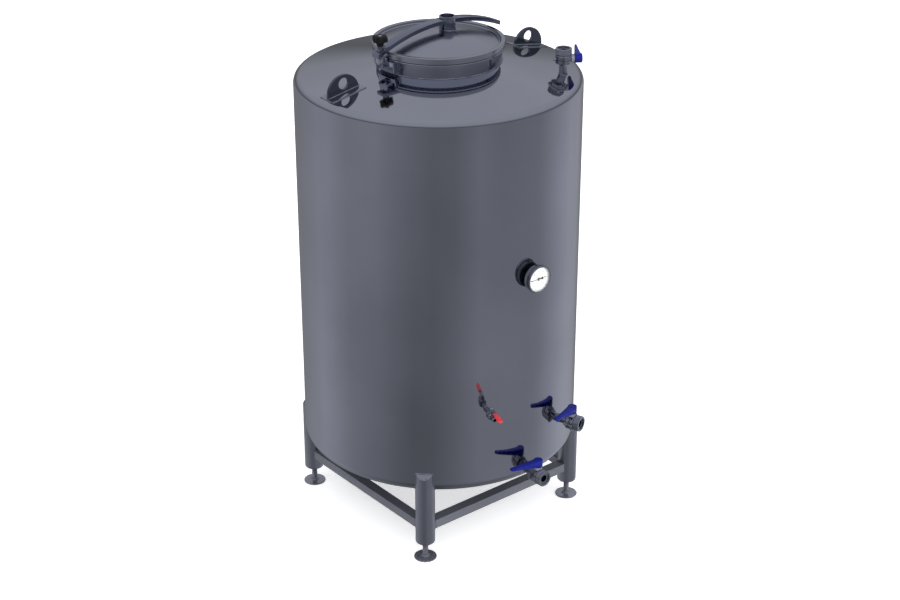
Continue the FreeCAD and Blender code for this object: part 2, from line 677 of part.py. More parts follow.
def make_valve(name, frame):
    """A butterfly valve on a welded pipe, its flow along Z and its handle along Y."""
    inlet = valve_half(name + "_inlet", [
        ("bore_radius", "-pipe_inside"),
        ("pipe_radius", "-pipe_inside"),
        ("pipe_radius", "socket_start"),
        ("socket_radius", "flange_start - 3"),
        ("valve_radius - 2", "flange_start"),
        ("valve_radius", "flange_start + 2"),
        ("valve_radius", "seal_start"),
        ("sleeve_bore", "seal_start"),
        ("sleeve_bore", "disc_place - sleeve_reach"),
        ("bore_radius", "disc_place - sleeve_reach")],
        "flange_start + 2", "seal_start", "flange_start - bolt_head_depth", "flange_start + 2")
    node(name + "_inlet", inlet, frame)
    outlet = valve_half(name + "_outlet", [
        ("sleeve_bore", "seal_end"),
        ("valve_radius", "seal_end"),
        ("valve_radius", "flange_end - 2"),
        ("valve_radius - 2", "flange_end"),
        ("thread_neck", "flange_end"),
        ("thread_neck", "thread_start"),
        ("thread_radius - 1.5", "thread_start"),
        ("thread_radius", "thread_start + 1.5"),
        ("thread_radius", "valve_length - 1.5"),
        ("thread_radius - 1.5", "valve_length"),
        ("mouth_radius", "valve_length"),
        ("mouth_radius", "valve_length - mouth_depth"),
        ("bore_radius", "valve_length - mouth_depth"),
        ("bore_radius", "disc_place + sleeve_reach"),
        ("sleeve_bore", "disc_place + sleeve_reach")],
        "seal_end", "flange_end - 2", "flange_end - 2", "thread_start - 0.5")
    node(name + "_outlet", outlet, frame)
    disc = cylinder(name + "_plate", "disc_radius", "disc_depth", 0, 0, "disc_place - disc_depth / 2")
    stem = valve_cylinder(name + "_stem", "stem_radius", "-stem_low", "handle_high - 8")
    node(name + "_disc", group(name + "_disc_solid", disc, stem), frame)
    node(name + "_handle", make_handle(name), frame)
    return frame


def make_handle(name):
    """A lever handle: a round hub, and an arm that thins and rises towards its tip."""
    hub = valve_cylinder(name + "_hub", "handle_hub", "handle_low", "handle_high")
    tip_top = "(handle_high + handle_rise)"
    side = plate(name + "_arm_side", [
        ("handle_low + 4", "0"),
        ("handle_high", "0"),
        ("handle_high", "handle_hub"),
        (tip_top, "handle_length - handle_tip / 2"),
        (f"{tip_top} - handle_tip / 2", "handle_length"),
        (f"{tip_top} - handle_tip", "handle_length - handle_tip / 2"),
        ("handle_low + 4", "handle_hub")], "4 * handle_hub", "XY_Plane")
    half_hub = "handle_hub - 0.6"
    half_tip = "handle_grip / 2"
    plan = plate(name + "_arm_plan", [
        ("0", f"-({half_hub})"),
        ("handle_hub", f"-({half_hub})"),
        (f"handle_length - {half_tip}", f"-({half_tip})", half_tip),
        ("handle_length", "0", half_tip),
        (f"handle_length - {half_tip}", half_tip),
        ("handle_hub", half_hub),
        ("0", half_hub)], "4 * handle_high", "YZ_Plane")
    arm = common(name + "_arm", side, plan)
    place(arm, 0, 0, "disc_place")
    stem_hole = valve_cylinder(name + "_handle_bore", "stem_radius", "0", "handle_high - 8")
    return cut(name + "_handle_bored", group(name + "_handle_solid", hub, arm), stem_hole)


def make_valve_seal(name, frame):
    seal = turned(name + "_seal_turned", [
        ("bore_radius", "disc_place - sleeve_reach"),
        ("sleeve_bore", "disc_place - sleeve_reach"),
        ("sleeve_bore", "seal_start"),
        ("seal_radius", "seal_start"),
        ("seal_radius", "seal_end"),
        ("sleeve_bore", "seal_end"),
        ("sleeve_bore", "disc_place + sleeve_reach"),
        ("bore_radius", "disc_place + sleeve_reach")])
    bore = valve_cylinder(name + "_seal_bore", "stem_radius + running", "-valve_length", "valve_length")
    bolt_holes = valve_bolts(name + "_seal_bolt_holes", "bolt_radius", "seal_start", "seal_end")
    seal_cut = cut(name + "_seal", seal, bore, bolt_holes)
    seal_cut.Placement = frame
    return seal_cut


def make_valve_bushes(name, frame):
    """The stem's upper bush and its lower cap."""
    rim = cylinder(name + "_rim", "valve_radius", "valve_length", 0, 0, 0)
    bush = valve_cylinder(name + "_bush", "bush_radius", "valve_radius - 3", "bush_top")
    cap = valve_cylinder(name + "_cap", "cap_radius", "-cap_reach", "3 - valve_radius")
    bore = valve_cylinder(name + "_bush_bore", "stem_radius + running", "-stem_low - running", "2 * bush_top")
    bushes = cut(name + "_bushes", group(name + "_bush_pair", bush, cap), rim, bore)
    bushes.Placement = frame
    return bushes


def make_valve_screws(name, frame):
    shanks = valve_bolts(name + "_shanks", "bolt_radius", "flange_start - 2", "flange_end")
    heads = valve_bolts(name + "_heads", "bolt_head", "flange_end - 2", "flange_end - 2 + bolt_head_depth")
    nuts = group(name + "_nuts", *[
        hexagon(f"{name}_nut_{side}", "2 * bolt_head", "bolt_head_depth", 0, f"{sign}bolt_circle",
                "flange_start + 2 - bolt_head_depth")
        for side, sign in (("left", "-"), ("right", ""))])
    screws = group(name + "_screws", shanks, heads, nuts)
    screws.Placement = frame
    return screws


def make_valves():
    frames = valve_frames()
    for name, frame in frames.items():
        make_valve(name, frame)
    node("valve_seals", group("all_seals", *[make_valve_seal(*item) for item in frames.items()]))
    node("valve_bushes", group("all_bushes", *[make_valve_bushes(*item) for item in frames.items()]))
    node("valve_screws", group("all_screws", *[make_valve_screws(*item) for item in frames.items()]))


# ---------------------------------------------------------------- thermometer


def make_thermometer():
    """A dial thermometer on a pocket that reaches into the tank."""
    frame = on_wall("gauge_azimuth", "gauge_height")
    node("thermometer_pocket", turned("pocket", [
        ("0", "-well_inside"),
        ("well_radius", "-well_inside"),
        ("well_radius", "0"),
        ("well_collar", "0"),
        ("well_collar", "well_collar_length"),
        ("0", "well_collar_length")]), frame)
    node("thermometer_case", turned("case", [
        ("0", "case_start"),
        ("case_radius - case_round", "case_start", "case_round"),
        ("case_radius", "case_start + case_round"),
        ("case_radius", "dial_place"),
        ("0", "dial_place")]), frame)
    node("thermometer_bezel", turned("bezel", [
        ("case_radius", "bezel_start"),
        ("bezel_radius", "bezel_start"),
        ("bezel_radius", "bezel_end - 1.5", "1.5"),
        ("bezel_radius - 1.5", "bezel_end"),
        ("dial_radius - 0.5", "bezel_end"),
        ("dial_radius - 0.5", "glass_place + glass_plate"),
        ("case_radius", "glass_place + glass_plate")]), frame)
    spindle = cylinder("dial_spindle", "pointer_pin", "pointer_place - dial_place + 2", 0, 0, "dial_place")
    dial = ring("dial_disc", "0", "case_radius", "dial_place", "dial_place + dial_plate")
    node("thermometer_dial", group("dial_solid", dial, spindle), frame)
    node("thermometer_glass", ring("glass", "0", "case_radius", "glass_place", "glass_place + glass_plate"), frame)
    needle = plate("needle", [
        ("-0.6", "pointer_length"),
        ("-pointer_width / 2", "-pointer_tail"),
        ("pointer_width / 2", "-pointer_tail"),
        ("0.6", "pointer_length")], "pointer_plate", "XY_Plane")
    hub = cylinder("needle_hub", "pointer_hub", "pointer_plate", 0, 0, "-pointer_plate / 2")
    weight = cylinder("needle_weight", "pointer_weight", "pointer_plate", 0, "-pointer_tail",
                      "-pointer_plate / 2")
    bore = cylinder("needle_bore", "pointer_pin + running", "4 * pointer_plate", 0, 0, "-2 * pointer_plate")
    pointer = cut("pointer", group("pointer_solid", needle, hub, weight), bore)
    lift = Placement(Vector(0, 0, value("pointer_place + pointer_plate / 2")), Rotation())
    node("thermometer_pointer", pointer, frame.multiply(lift))


# ---------------------------------------------------------------- sampling valve


def make_sampling_valve():
    """A small ball valve that points away from the wall, with a lever in line with it."""
    frame = on_wall("sample_azimuth", "sample_height")
    body = turned("sample_turned", [
        ("sample_bore", "-pipe_inside"),
        ("sample_tube", "-pipe_inside"),
        ("sample_tube", "block_start"),
        ("sample_block", "block_start + 3"),
        ("sample_block", "block_end - 3"),
        ("sample_tube", "block_end"),
        ("sample_tube", "sample_length - 3"),
        ("sample_tube - 2", "sample_length"),
        ("sample_mouth", "sample_length"),
        ("sample_mouth", "block_end"),
        ("sample_bore", "block_end")])
    gland = sample_stem("gland", "gland_radius", "0", "gland_high")
    chamber = doc.addObject("Part::Sphere", "ball_chamber")
    bind(chamber, "Radius", "sample_ball + 0.3")
    place(chamber, 0, 0, "ball_place")
    stem_bore = sample_stem("stem_bore", "sample_stem + running", "0", "2 * stem_high")
    bore = cylinder("sample_bore_tool", "sample_bore", "sample_length", 0, 0, 0)
    node("sampling_body", cut("sample_bored", group("sample_solid", body, gland), bore, chamber, stem_bore), frame)
    ball = doc.addObject("Part::Sphere", "ball_solid")
    bind(ball, "Radius", "sample_ball")
    place(ball, 0, 0, "ball_place")
    ball_bore = cylinder("ball_bore", "sample_bore", "sample_length", 0, 0, 0)
    stem = sample_stem("stem", "sample_stem", "sample_ball - 1", "stem_high + 3")
    node("sampling_ball", group("ball_and_stem", cut("ball_bored", ball, ball_bore), stem), frame)
    lever = box("lever_bar", ("lever_plate", "lever_width", "lever_end - ball_place + lever_back"),
                "lever_low + lever_plate / 2", 0, "ball_place - lever_back")
    lever_hole = sample_stem("lever_hole", "sample_stem", "0", "2 * stem_high")
    node("sampling_lever", cut("lever", lever, lever_hole), frame)
    grip = box("grip_bar", ("grip_depth", "grip_width", "grip_end - grip_start"),
               "lever_low + lever_plate / 2", 0, "grip_start")
    rounded = doc.addObject("Part::Fillet", "grip_rounded")
    rounded.Base = grip
    doc.recompute()
    rounded.Edges = [(number, 3.0, 3.0) for number in range(1, len(grip.Shape.Edges) + 1)]
    slot = box("grip_slot", ("lever_plate", "lever_width", "lever_end - ball_place"),
               "lever_low + lever_plate / 2", 0, "ball_place")
    node("sampling_grip", cut("grip", rounded, slot), frame)


def sample_stem(name, radius, start, finish):
    """A cylinder along the sampling valve's stem, X in its own frame."""
    return cylinder(name, radius, f"({finish}) - ({start})", start, 0, "ball_place", ALONG_X)


# ---------------------------------------------------------------- build, test and write


def check_document():
    """Stops if an object failed to build, or a sub-part isn't a valid solid."""
    for target in doc.Objects:
        failed = [state for state in target.State if state in ("Invalid", "Error")]
        if failed:
            raise RuntimeError(f"{target.Name} ({target.Label}): {failed}")
    for name, target in NODES.items():
        shape = target.Shape
        if shape.isNull() or not shape.isValid() or not shape.Solids:
            raise RuntimeError(f"{name} has no valid solid")


def write_parts():
    os.makedirs("parts", exist_ok=True)
    for name, target in NODES.items():
        target.Shape.exportStep(f"parts/{name}.step")
        print(f"{name:24s} {len(target.Shape.Solids)} solid(s) {target.Shape.Volume / 1000:10.1f} cm3")


make_tank()
make_legs()
make_crossbars()
make_manway_neck()
make_lid()
make_arch()
make_hinge()
make_clamp()
make_lugs()
make_valves()
make_thermometer()
make_sampling_valve()
doc.recompute()
check_document()
write_parts()
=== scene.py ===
"""The looks of a 1000 litre stainless tank: materials, weld beads, threads, mouldings and the studio."""
import json
import math

import bmesh
import bpy
from mathutils import Matrix, Vector


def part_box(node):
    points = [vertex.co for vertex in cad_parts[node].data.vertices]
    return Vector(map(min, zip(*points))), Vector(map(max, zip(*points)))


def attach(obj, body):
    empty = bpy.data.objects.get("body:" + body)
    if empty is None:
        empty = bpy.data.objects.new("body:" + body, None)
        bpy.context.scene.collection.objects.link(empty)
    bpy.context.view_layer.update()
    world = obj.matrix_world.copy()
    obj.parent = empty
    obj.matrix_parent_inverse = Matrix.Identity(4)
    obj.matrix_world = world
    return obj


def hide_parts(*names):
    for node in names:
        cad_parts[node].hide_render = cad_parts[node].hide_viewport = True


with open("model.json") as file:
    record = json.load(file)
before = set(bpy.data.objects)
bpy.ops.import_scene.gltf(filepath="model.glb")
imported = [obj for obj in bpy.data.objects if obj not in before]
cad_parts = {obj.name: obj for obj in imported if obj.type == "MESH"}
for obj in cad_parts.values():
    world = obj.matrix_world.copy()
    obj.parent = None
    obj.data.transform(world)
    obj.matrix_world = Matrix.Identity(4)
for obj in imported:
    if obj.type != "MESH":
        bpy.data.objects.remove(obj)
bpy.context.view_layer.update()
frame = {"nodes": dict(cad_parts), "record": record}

NODES = frame["nodes"]
MM = 0.001

# ---------------------------------------------------------------- material helpers

# Blender's noise stays mostly between these values, so colours run from end to end over them.
NOISE_SPAN = (0.35, 0.65)
# How much of the steel's gloss follows its grain, and how much its handling marks.
GRAIN_SHARE, MARK_SHARE = 0.55, 0.45
# The depths in metres that bump strengths are shares of.
STEEL_RELIEF, PLASTIC_RELIEF = 0.0004, 0.0003


def map_range(tree, factor, start, end, low, high):
    """A number that goes from low to high as the factor goes from start to end."""
    made = tree.nodes.new("ShaderNodeMapRange")
    for socket, number in (("From Min", start), ("From Max", end), ("To Min", low), ("To Max", high)):
        made.inputs[socket].default_value = number
    tree.links.new(factor, made.inputs["Value"])
    return made.outputs["Result"]


class Shader:
    """A Principled material and short calls that add nodes to it."""

    def __init__(self, name, **sockets):
        self.material = bpy.data.materials.new(name)
        self.material.use_nodes = True
        self.tree = self.material.node_tree
        self.surface = self.tree.nodes["Principled BSDF"]
        self.coordinates = self.tree.nodes.new("ShaderNodeTexCoord").outputs["Object"]
        for socket, number in sockets.items():
            self.set(socket.replace("_", " "), number)

    def set(self, socket, number):
        if isinstance(number, tuple) and len(number) == 3:
            number = (*number, 1.0)
        self.surface.inputs[socket].default_value = number

    def node(self, kind, **inputs):
        made = self.tree.nodes.new(kind)
        for socket, number in inputs.items():
            made.inputs[socket.replace("_", " ")].default_value = number
        return made

    def link(self, output, socket):
        self.tree.links.new(output, socket)

    def stretched(self, scale):
        mapping = self.node("ShaderNodeMapping")
        mapping.inputs["Scale"].default_value = scale
        self.link(self.coordinates, mapping.inputs["Vector"])
        return mapping.outputs["Vector"]

    def noise(self, scale, detail=4.0, vector=None, roughness=0.5):
        made = self.node("ShaderNodeTexNoise", Scale=scale, Detail=detail, Roughness=roughness)
        self.link(vector or self.coordinates, made.inputs["Vector"])
        return made.outputs["Fac"]

    def ramp(self, factor, low, high, start=0.0, end=1.0):
        """A factor turned into a colour between low and high."""
        made = self.node("ShaderNodeValToRGB")
        first, last = made.color_ramp.elements
        first.position, last.position = start, end
        first.color, last.color = (*low, 1.0), (*high, 1.0)
        self.link(factor, made.inputs["Fac"])
        return made.outputs["Color"]

    def spread(self, factor, low, high, start=0.3, end=0.7):
        return map_range(self.tree, factor, start, end, low, high)

    def bump(self, height, strength, distance):
        made = self.node("ShaderNodeBump", Strength=strength, Distance=distance)
        self.link(height, made.inputs["Height"])
        return made.outputs["Normal"]

    def finish(self, color=None, roughness=None, normal=None):
        for output, socket in ((color, "Base Color"), (roughness, "Roughness"), (normal, "Normal")):
            if output is not None:
                self.link(output, self.surface.inputs[socket])
        return self.material


def shade(color, amount):
    return tuple(channel * amount for channel in color)


def steel(name, color, roughness, grain, cloud=2.4, contrast=0.05, grain_bump=0.05, metal=1.0, brushed=0.0):
    """Stainless steel: a fine directional grain, faint clouds, and handling marks in the gloss.

    grain is the grain's fineness along X, Y and Z, in noise cells to the metre, and cloud the clouds'.
    With brushed above 0, the gloss spreads across lines that run round the Z axis.
    """
    shader = Shader(name, Metallic=metal, Roughness=roughness, Anisotropic=brushed)
    if brushed:
        tangent = shader.tree.nodes.new("ShaderNodeTangent")
        tangent.direction_type = "RADIAL"
        tangent.axis = "Z"
        shader.link(tangent.outputs["Tangent"], shader.surface.inputs["Tangent"])
    clouds = shader.noise(cloud, 5.0)
    tone = shader.ramp(clouds, shade(color, 1 - contrast), shade(color, 1 + contrast), *NOISE_SPAN)
    streaks = shader.noise(1.0, 3.0, shader.stretched(grain))
    marks = shader.noise(cloud * 5, 6.0, roughness=0.65)
    mixed = shader.node("ShaderNodeMath")
    mixed.operation = "MULTIPLY_ADD"
    mixed.inputs[1].default_value = GRAIN_SHARE
    shader.link(streaks, mixed.inputs[0])
    shader.link(shader.spread(marks, 0.0, MARK_SHARE), mixed.inputs[2])
    gloss = shader.spread(mixed.outputs[0], roughness * 0.75, roughness * 1.35, 0.2, 0.8)
    return shader.finish(tone, gloss, shader.bump(streaks, grain_bump, STEEL_RELIEF))


def plastic(name, color, roughness, speckle=900, bump=0.12, gloss=0.5):
    """Moulded plastic: a fine spark-eroded texture and slightly uneven colour."""
    shader = Shader(name, Roughness=roughness)
    shader.set("Specular IOR Level", gloss)
    tone = shader.ramp(shader.noise(35, 4.0), shade(color, 0.82), shade(color, 1.14), *NOISE_SPAN)
    grain = shader.noise(speckle, 3.0)
    sheen = shader.spread(grain, roughness * 0.8, roughness * 1.3)
    return shader.finish(tone, sheen, shader.bump(grain, bump, PLASTIC_RELIEF))


# Polished steel, its colour tinted with a painted reflection: the faint blue of an overcast sky.
STEEL_TONE_WITH_PAINTED_SKY = (0.36, 0.372, 0.43)

SHELL = steel("steel_shell", STEEL_TONE_WITH_PAINTED_SKY, 0.08, grain=(9, 9, 900), contrast=0.06, grain_bump=0.012)
ROOF = steel("steel_roof", STEEL_TONE_WITH_PAINTED_SKY, 0.06, grain=(130, 130, 130), contrast=0.03, grain_bump=0.01)
LID = steel("steel_lid", shade(STEEL_TONE_WITH_PAINTED_SKY, 0.98), 0.2, grain=(160, 160, 160), contrast=0.04, grain_bump=0.02,
            brushed=0.6)
STAND = steel("steel_stand", shade(STEEL_TONE_WITH_PAINTED_SKY, 0.9), 0.36, grain=(40, 40, 1400), contrast=0.06,
              grain_bump=0.06)
BAR = steel("steel_bar", shade(STEEL_TONE_WITH_PAINTED_SKY, 0.55), 0.5, grain=(900, 900, 40), contrast=0.06, metal=0.6)
# Painted reflection: the neck, its flange and the clamp's bracket are the shell's steel painted lighter and
# bluer, for the brighter reflections they show.
NECK_WITH_PAINTED_REFLECTION = steel("steel_neck_painted_reflection", (0.46, 0.485, 0.575), 0.12, grain=(9, 9, 900), contrast=0.05, grain_bump=0.02)
# Painted shade: the arches, the lid's boss and the clamp's sleeve are the same steel painted darker.
ARCH_WITH_PAINTED_SHADE = steel("steel_arch_painted_shade", (0.22, 0.235, 0.31), 0.11, grain=(40, 500, 500), contrast=0.08, cloud=9)
# Painted shade: the lifting lugs are the same steel painted darker still.
LUG_WITH_PAINTED_SHADE = steel("steel_lug_painted_shade", (0.12, 0.133, 0.17), 0.08, grain=(300, 300, 300), contrast=0.07, cloud=9)
FITTING = steel("steel_fitting", shade(STEEL_TONE_WITH_PAINTED_SKY, 0.9), 0.16, grain=(500, 500, 500), contrast=0.08, cloud=14)
FOOT = steel("steel_foot", shade(STEEL_TONE_WITH_PAINTED_SKY, 0.8), 0.24, grain=(700, 700, 90), contrast=0.07, cloud=18,
             metal=0.8)
BRIGHT = steel("steel_bright", shade(STEEL_TONE_WITH_PAINTED_SKY, 1.5), 0.16, grain=(800, 800, 800), contrast=0.08, cloud=30)
WELD = steel("steel_weld", shade(STEEL_TONE_WITH_PAINTED_SKY, 0.95), 0.34, grain=(260, 260, 260), contrast=0.22, cloud=60,
             grain_bump=0.25)
BLACK = plastic("plastic_black", (0.007, 0.007, 0.008), 0.5, gloss=0.2)
CASE = plastic("plastic_case", (0.075, 0.08, 0.10), 0.35)
BLUE = plastic("plastic_blue", (0.005, 0.009, 0.165), 0.32, gloss=0.2)
RED = plastic("plastic_red", (0.60, 0.035, 0.045), 0.34)
BUSH = plastic("plastic_bush", (0.17, 0.18, 0.215), 0.4)
RUBBER = plastic("rubber_black", (0.018, 0.018, 0.020), 0.62, speckle=500, bump=0.25)
DIAL = plastic("dial_enamel", (0.94, 0.94, 0.91), 0.35, speckle=300, bump=0.02)
INK = plastic("dial_ink", (0.012, 0.012, 0.014), 0.5, bump=0.02)
PRINT = plastic("dial_print", (0.09, 0.09, 0.10), 0.5, bump=0.02)


def glass(name):
    """Clear thin glass: mostly see-through, with a faintly smeared gloss."""
    shader = Shader(name, Roughness=0.02, Alpha=0.06)
    shader.set("Base Color", (0.05, 0.06, 0.06))
    smear = shader.noise(60, 3.0)
    return shader.finish(roughness=shader.spread(smear, 0.01, 0.05))


GLASS = glass("gauge_glass")

BY_SLOT = {
    "shell_steel": SHELL, "stand_steel": STAND, "foot_steel": FOOT, "fitting_steel": FITTING,
    "lid_steel": LID, "bright_steel": BRIGHT, "black_plastic": BLACK, "blue_plastic": BLUE,
    "red_plastic": RED, "bush_plastic": BUSH, "seal_rubber": RUBBER, "dial_face": DIAL,
    "pointer_black": INK, "gauge_glass": GLASS}
# The neck's copy of the steel carries a painted reflection, and the arches' and lugs' copies carry painted
# shade.
BY_NODE = {"tank_roof": ROOF, "manway_neck": NECK_WITH_PAINTED_REFLECTION, "manway_flange": NECK_WITH_PAINTED_REFLECTION, "clamp_bracket": NECK_WITH_PAINTED_REFLECTION,
           "arch_front": ARCH_WITH_PAINTED_SHADE, "arch_rear": ARCH_WITH_PAINTED_SHADE, "lid_boss": ARCH_WITH_PAINTED_SHADE, "clamp_sleeve": ARCH_WITH_PAINTED_SHADE,
           "lifting_lug_left": LUG_WITH_PAINTED_SHADE, "lifting_lug_right": LUG_WITH_PAINTED_SHADE, "thermometer_case": CASE}

# Sharp sheet and bar edges that a grinder has broken: the width of the bevel in millimetres.
BROKEN_EDGES = {
    "arch_front": 1.4, "arch_rear": 1.4, "lifting_lug_left": 1.2, "lifting_lug_right": 1.2, "lug_pads": 0.8,
    "hinge_ears": 0.8, "clamp_bracket": 1.0, "manway_flange": 1.0, "lid_boss": 1.0, "clamp_sleeve": 0.8,
    "hinge_barrel": 0.8, "thermometer_bezel": 0.6, "thermometer_pocket": 0.8, "leg_caps": 0.8}
BEVEL_STEPS = 3
# Only edges that turn by more than this are broken.
BEVEL_FROM = math.radians(50)

for side in ("front", "right", "back", "left"):
    BY_NODE["crossbar_" + side] = BAR
    BROKEN_EDGES["crossbar_" + side] = 3.0


def paint_frame():
    """Gives every CAD node the material of its slot, or its own where it has one, and breaks its edges."""
    slots = {item["node"]: item["material_slot"] for item in frame["record"]["subparts"]}
    for name, target in NODES.items():
        material = BY_NODE.get(name) or BY_SLOT[slots[name]]
        target.data.materials.clear()
        target.data.materials.append(material)
        if name in BROKEN_EDGES:
            joined = target.modifiers.new("weld", "WELD")
            joined.merge_threshold = 0.02 * MM
            bevel = target.modifiers.new("bevel", "BEVEL")
            bevel.width = BROKEN_EDGES[name] * MM
            bevel.segments = BEVEL_STEPS
            bevel.limit_method = "ANGLE"
            bevel.angle_limit = BEVEL_FROM
            bevel.harden_normals = True


# ---------------------------------------------------------------- places on the tank, in millimetres


def span(node, axis):
    """Where a CAD node starts and ends along X, Y or Z."""
    index = "xyz".index(axis)
    return tuple(round(corner[index] / MM, 3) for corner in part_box(node))


def middle(node, axis):
    """The place halfway between a CAD node's ends."""
    return round(sum(span(node, axis)) / 2, 2)


ROOF_SLOPE = math.radians(10)
ROOF_KNUCKLE = 27
TANK_R = span("tank_shell", "x")[1]
LOW_EDGE = span("tank_shell", "z")[0]
KNUCKLE = LOW_EDGE - span("tank_bottom", "z")[0]
BOTTOM_RISE = 15
# The cone of the roof starts at this radius and height, where its knuckle ends.
CONE_R = TANK_R - ROOF_KNUCKLE + ROOF_KNUCKLE * math.sin(ROOF_SLOPE)
TANK_TOP = round(span("tank_roof", "z")[0] + ROOF_KNUCKLE * math.cos(ROOF_SLOPE), 2)

CORNERS = {"front_right": 45, "back_right": 135, "back_left": 225, "front_left": 315}
LEG_AXIS = round(middle("foot_front_right", "x") * math.sqrt(2), 1)
LEG_SPREAD = LEG_AXIS / math.sqrt(2)
LEG_R = 35
LEG_TOP = span("leg_caps", "z")[1]
# Half the width of a leg's cap where it meets the wall.
LEG_CAP_HALF = 30.55

NECK_R = span("manway_neck", "x")[1]
LID_FOOT, LID_TOP = span("manway_lid", "z")
LID_R = span("manway_lid", "x")[1]
# The lid's dome: the radius of its edge, and how far it rises above that edge.
DOME_R, DOME_RISE = 207, 38
BOSS_OUT = middle("lid_boss", "x")
BOSS_R = span("lid_boss", "x")[1] - BOSS_OUT
CLAMP_OUT = middle("star_knob", "x")
HINGE_PIN = Vector((middle("hinge_pin", "x"), 0, middle("hinge_pin", "z")))

PIPE_R = 14.5
SAMPLE_PIPE_R = 9
POCKET_R = span("thermometer_pocket", "x")[1]
# A valve's two bolts stand this far from its axis, one on each side.
BOLTS = [Matrix.Translation((0, side * 28.5, 0)) for side in (-1, 1)]


def roof_at(radius):
    return TANK_TOP + (CONE_R - radius) * math.tan(ROOF_SLOPE)


def around(azimuth, radius=1.0, height=0.0):
    """A point at an azimuth counted from the front, -Y, towards +X."""
    turn = math.radians(azimuth)
    return Vector((radius * math.sin(turn), -radius * math.cos(turn), height))


def placed(origin, x_axis, y_axis, z_axis):
    columns = Matrix((x_axis, y_axis, z_axis)).transposed().to_4x4()
    return Matrix.Translation(origin) @ columns


def on_wall(azimuth, height):
    """A frame on the wall, in millimetres: Z runs outwards, X up, and Y towards a lower azimuth."""
    return placed(around(azimuth, TANK_R, height), Vector((0, 0, 1)), -around(azimuth + 90), around(azimuth))


def on_roof(azimuth, out, turn):
    """A frame on the roof: Z runs up, and X outwards, turned by a little."""
    return placed(around(azimuth, out, roof_at(out)), around(azimuth + turn), around(azimuth + turn + 90),
                  Vector((0, 0, 1)))


VALVES = {"drain_valve": on_wall(0, middle("drain_valve_outlet", "z")),
          "side_valve": on_wall(20, middle("side_valve_outlet", "z")),
          "top_valve": on_roof(44, 428, 15)}
VALVE_BODY = {"drain_valve": "drain_handle", "side_valve": "side_handle", "top_valve": "top_handle"}
SAMPLE = on_wall(-20, 600)
GAUGE = on_wall(0, middle("thermometer_bezel", "z"))


def on_its_side(height):
    """Lays a part made about Z along X, at a height above the wall or roof."""
    return Matrix.Translation((0, 0, height)) @ Matrix.Rotation(math.radians(90), 4, "Y")


# ---------------------------------------------------------------- mesh helpers

# Points nearer than this are one, in metres.
JOIN_GAP = 0.000002


def add_mesh(name, parts, material, body="tank", replaces=(), sharp=35):
    """One piece from parts, each (points in millimetres, faces) in the row frame.

    Edges sharper than the angle sharp, in degrees, stay sharp. Points in one place are joined.
    """
    points = []
    faces = []
    for part_points, part_faces in parts:
        start = len(points)
        points += [Vector(point) * MM for point in part_points]
        faces += [tuple(start + index for index in face) for face in part_faces]
    mesh = bpy.data.meshes.new(name)
    mesh.from_pydata(points, [], faces)
    shape = bmesh.new()
    shape.from_mesh(mesh)
    bmesh.ops.remove_doubles(shape, verts=shape.verts, dist=JOIN_GAP)
    bmesh.ops.recalc_face_normals(shape, faces=shape.faces)
    shape.to_mesh(mesh)
    shape.free()
    mesh.polygons.foreach_set("use_smooth", [True] * len(mesh.polygons))
    mesh.set_sharp_from_angle(angle=math.radians(sharp))
    mesh.materials.append(material)
    piece = bpy.data.objects.new(name, mesh)
    bpy.context.scene.collection.objects.link(piece)
    finish_piece(piece, body, replaces)
    return piece


def finish_piece(piece, body, replaces=()):
    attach(piece, body)
    if replaces:
        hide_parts(*replaces)


def moved(part, matrix):
    return [matrix @ Vector(point) for point in part[0]], part[1]


def grid_faces(rows, columns, close_rows):
    """The faces between rows of points. Each row is a ring, and the last row may join the first."""
    faces = []
    for row in range(rows if close_rows else rows - 1):
        for column in range(columns):
            below, beside = (row + 1) % rows, (column + 1) % columns
            faces.append((row * columns + column, row * columns + beside,
                          below * columns + beside, below * columns + column))
    return faces


def lathe(outline, steps=48, closed=False, radius=None):
    """A turned part about Z from points (radius, height). radius(r, z, angle) may reshape it."""
    points = []
    for r, z in outline:
        for step in range(steps):
            angle = 2 * math.pi * step / steps
            reach = radius(r, z, angle) if radius else r
            points.append(Vector((reach * math.cos(angle), reach * math.sin(angle), z)))
    return points, grid_faces(len(outline), steps, closed)


def softened(corners, steps=3, closed=False):
    """An outline of (x, y, fillet) corners with each fillet drawn as a short arc."""
    result = []
    count = len(corners)
    for index, (x, y, fillet) in enumerate(corners):
        here = Vector((x, y))
        if fillet == 0 or (not closed and index in (0, count - 1)):
            result.append((x, y))
            continue
        before = (Vector(corners[index - 1][:2]) - here).normalized()
        after = (Vector(corners[(index + 1) % count][:2]) - here).normalized()
        for step in range(steps + 1):
            share = step / steps
            start, end = here + before * fillet, here + after * fillet
            point = start * (1 - share) ** 2 + here * 2 * share * (1 - share) + end * share ** 2
            result.append((point.x, point.y))
    return result


def hexagon_reach(flats, angle):
    turn = (angle % (math.pi / 3)) - math.pi / 6
    return flats / 2 / math.cos(turn)


def hex_nut(flats, low, high, hole, steps=48):
    """A nut with its corners chamfered at both ends."""
    chamfer = flats * 0.07

    def reach(r, z, angle):
        """The hexagon, cut by a cone that starts a little inside its flats at either end."""
        if r <= hole:
            return r
        ends = min(z - low, high - z)
        cone = flats / 2 * 0.97 + max(ends, 0) / chamfer * flats * 0.09
        return min(hexagon_reach(flats, angle), cone)

    outside = [low, low + chamfer * 0.5, low + chamfer, low + 2 * chamfer,
               high - 2 * chamfer, high - chamfer, high - chamfer * 0.5, high]
    outline = [(hole, low)] + [(flats, z) for z in outside] + [(hole, high)]
    return lathe(outline, steps, closed=True, radius=reach)


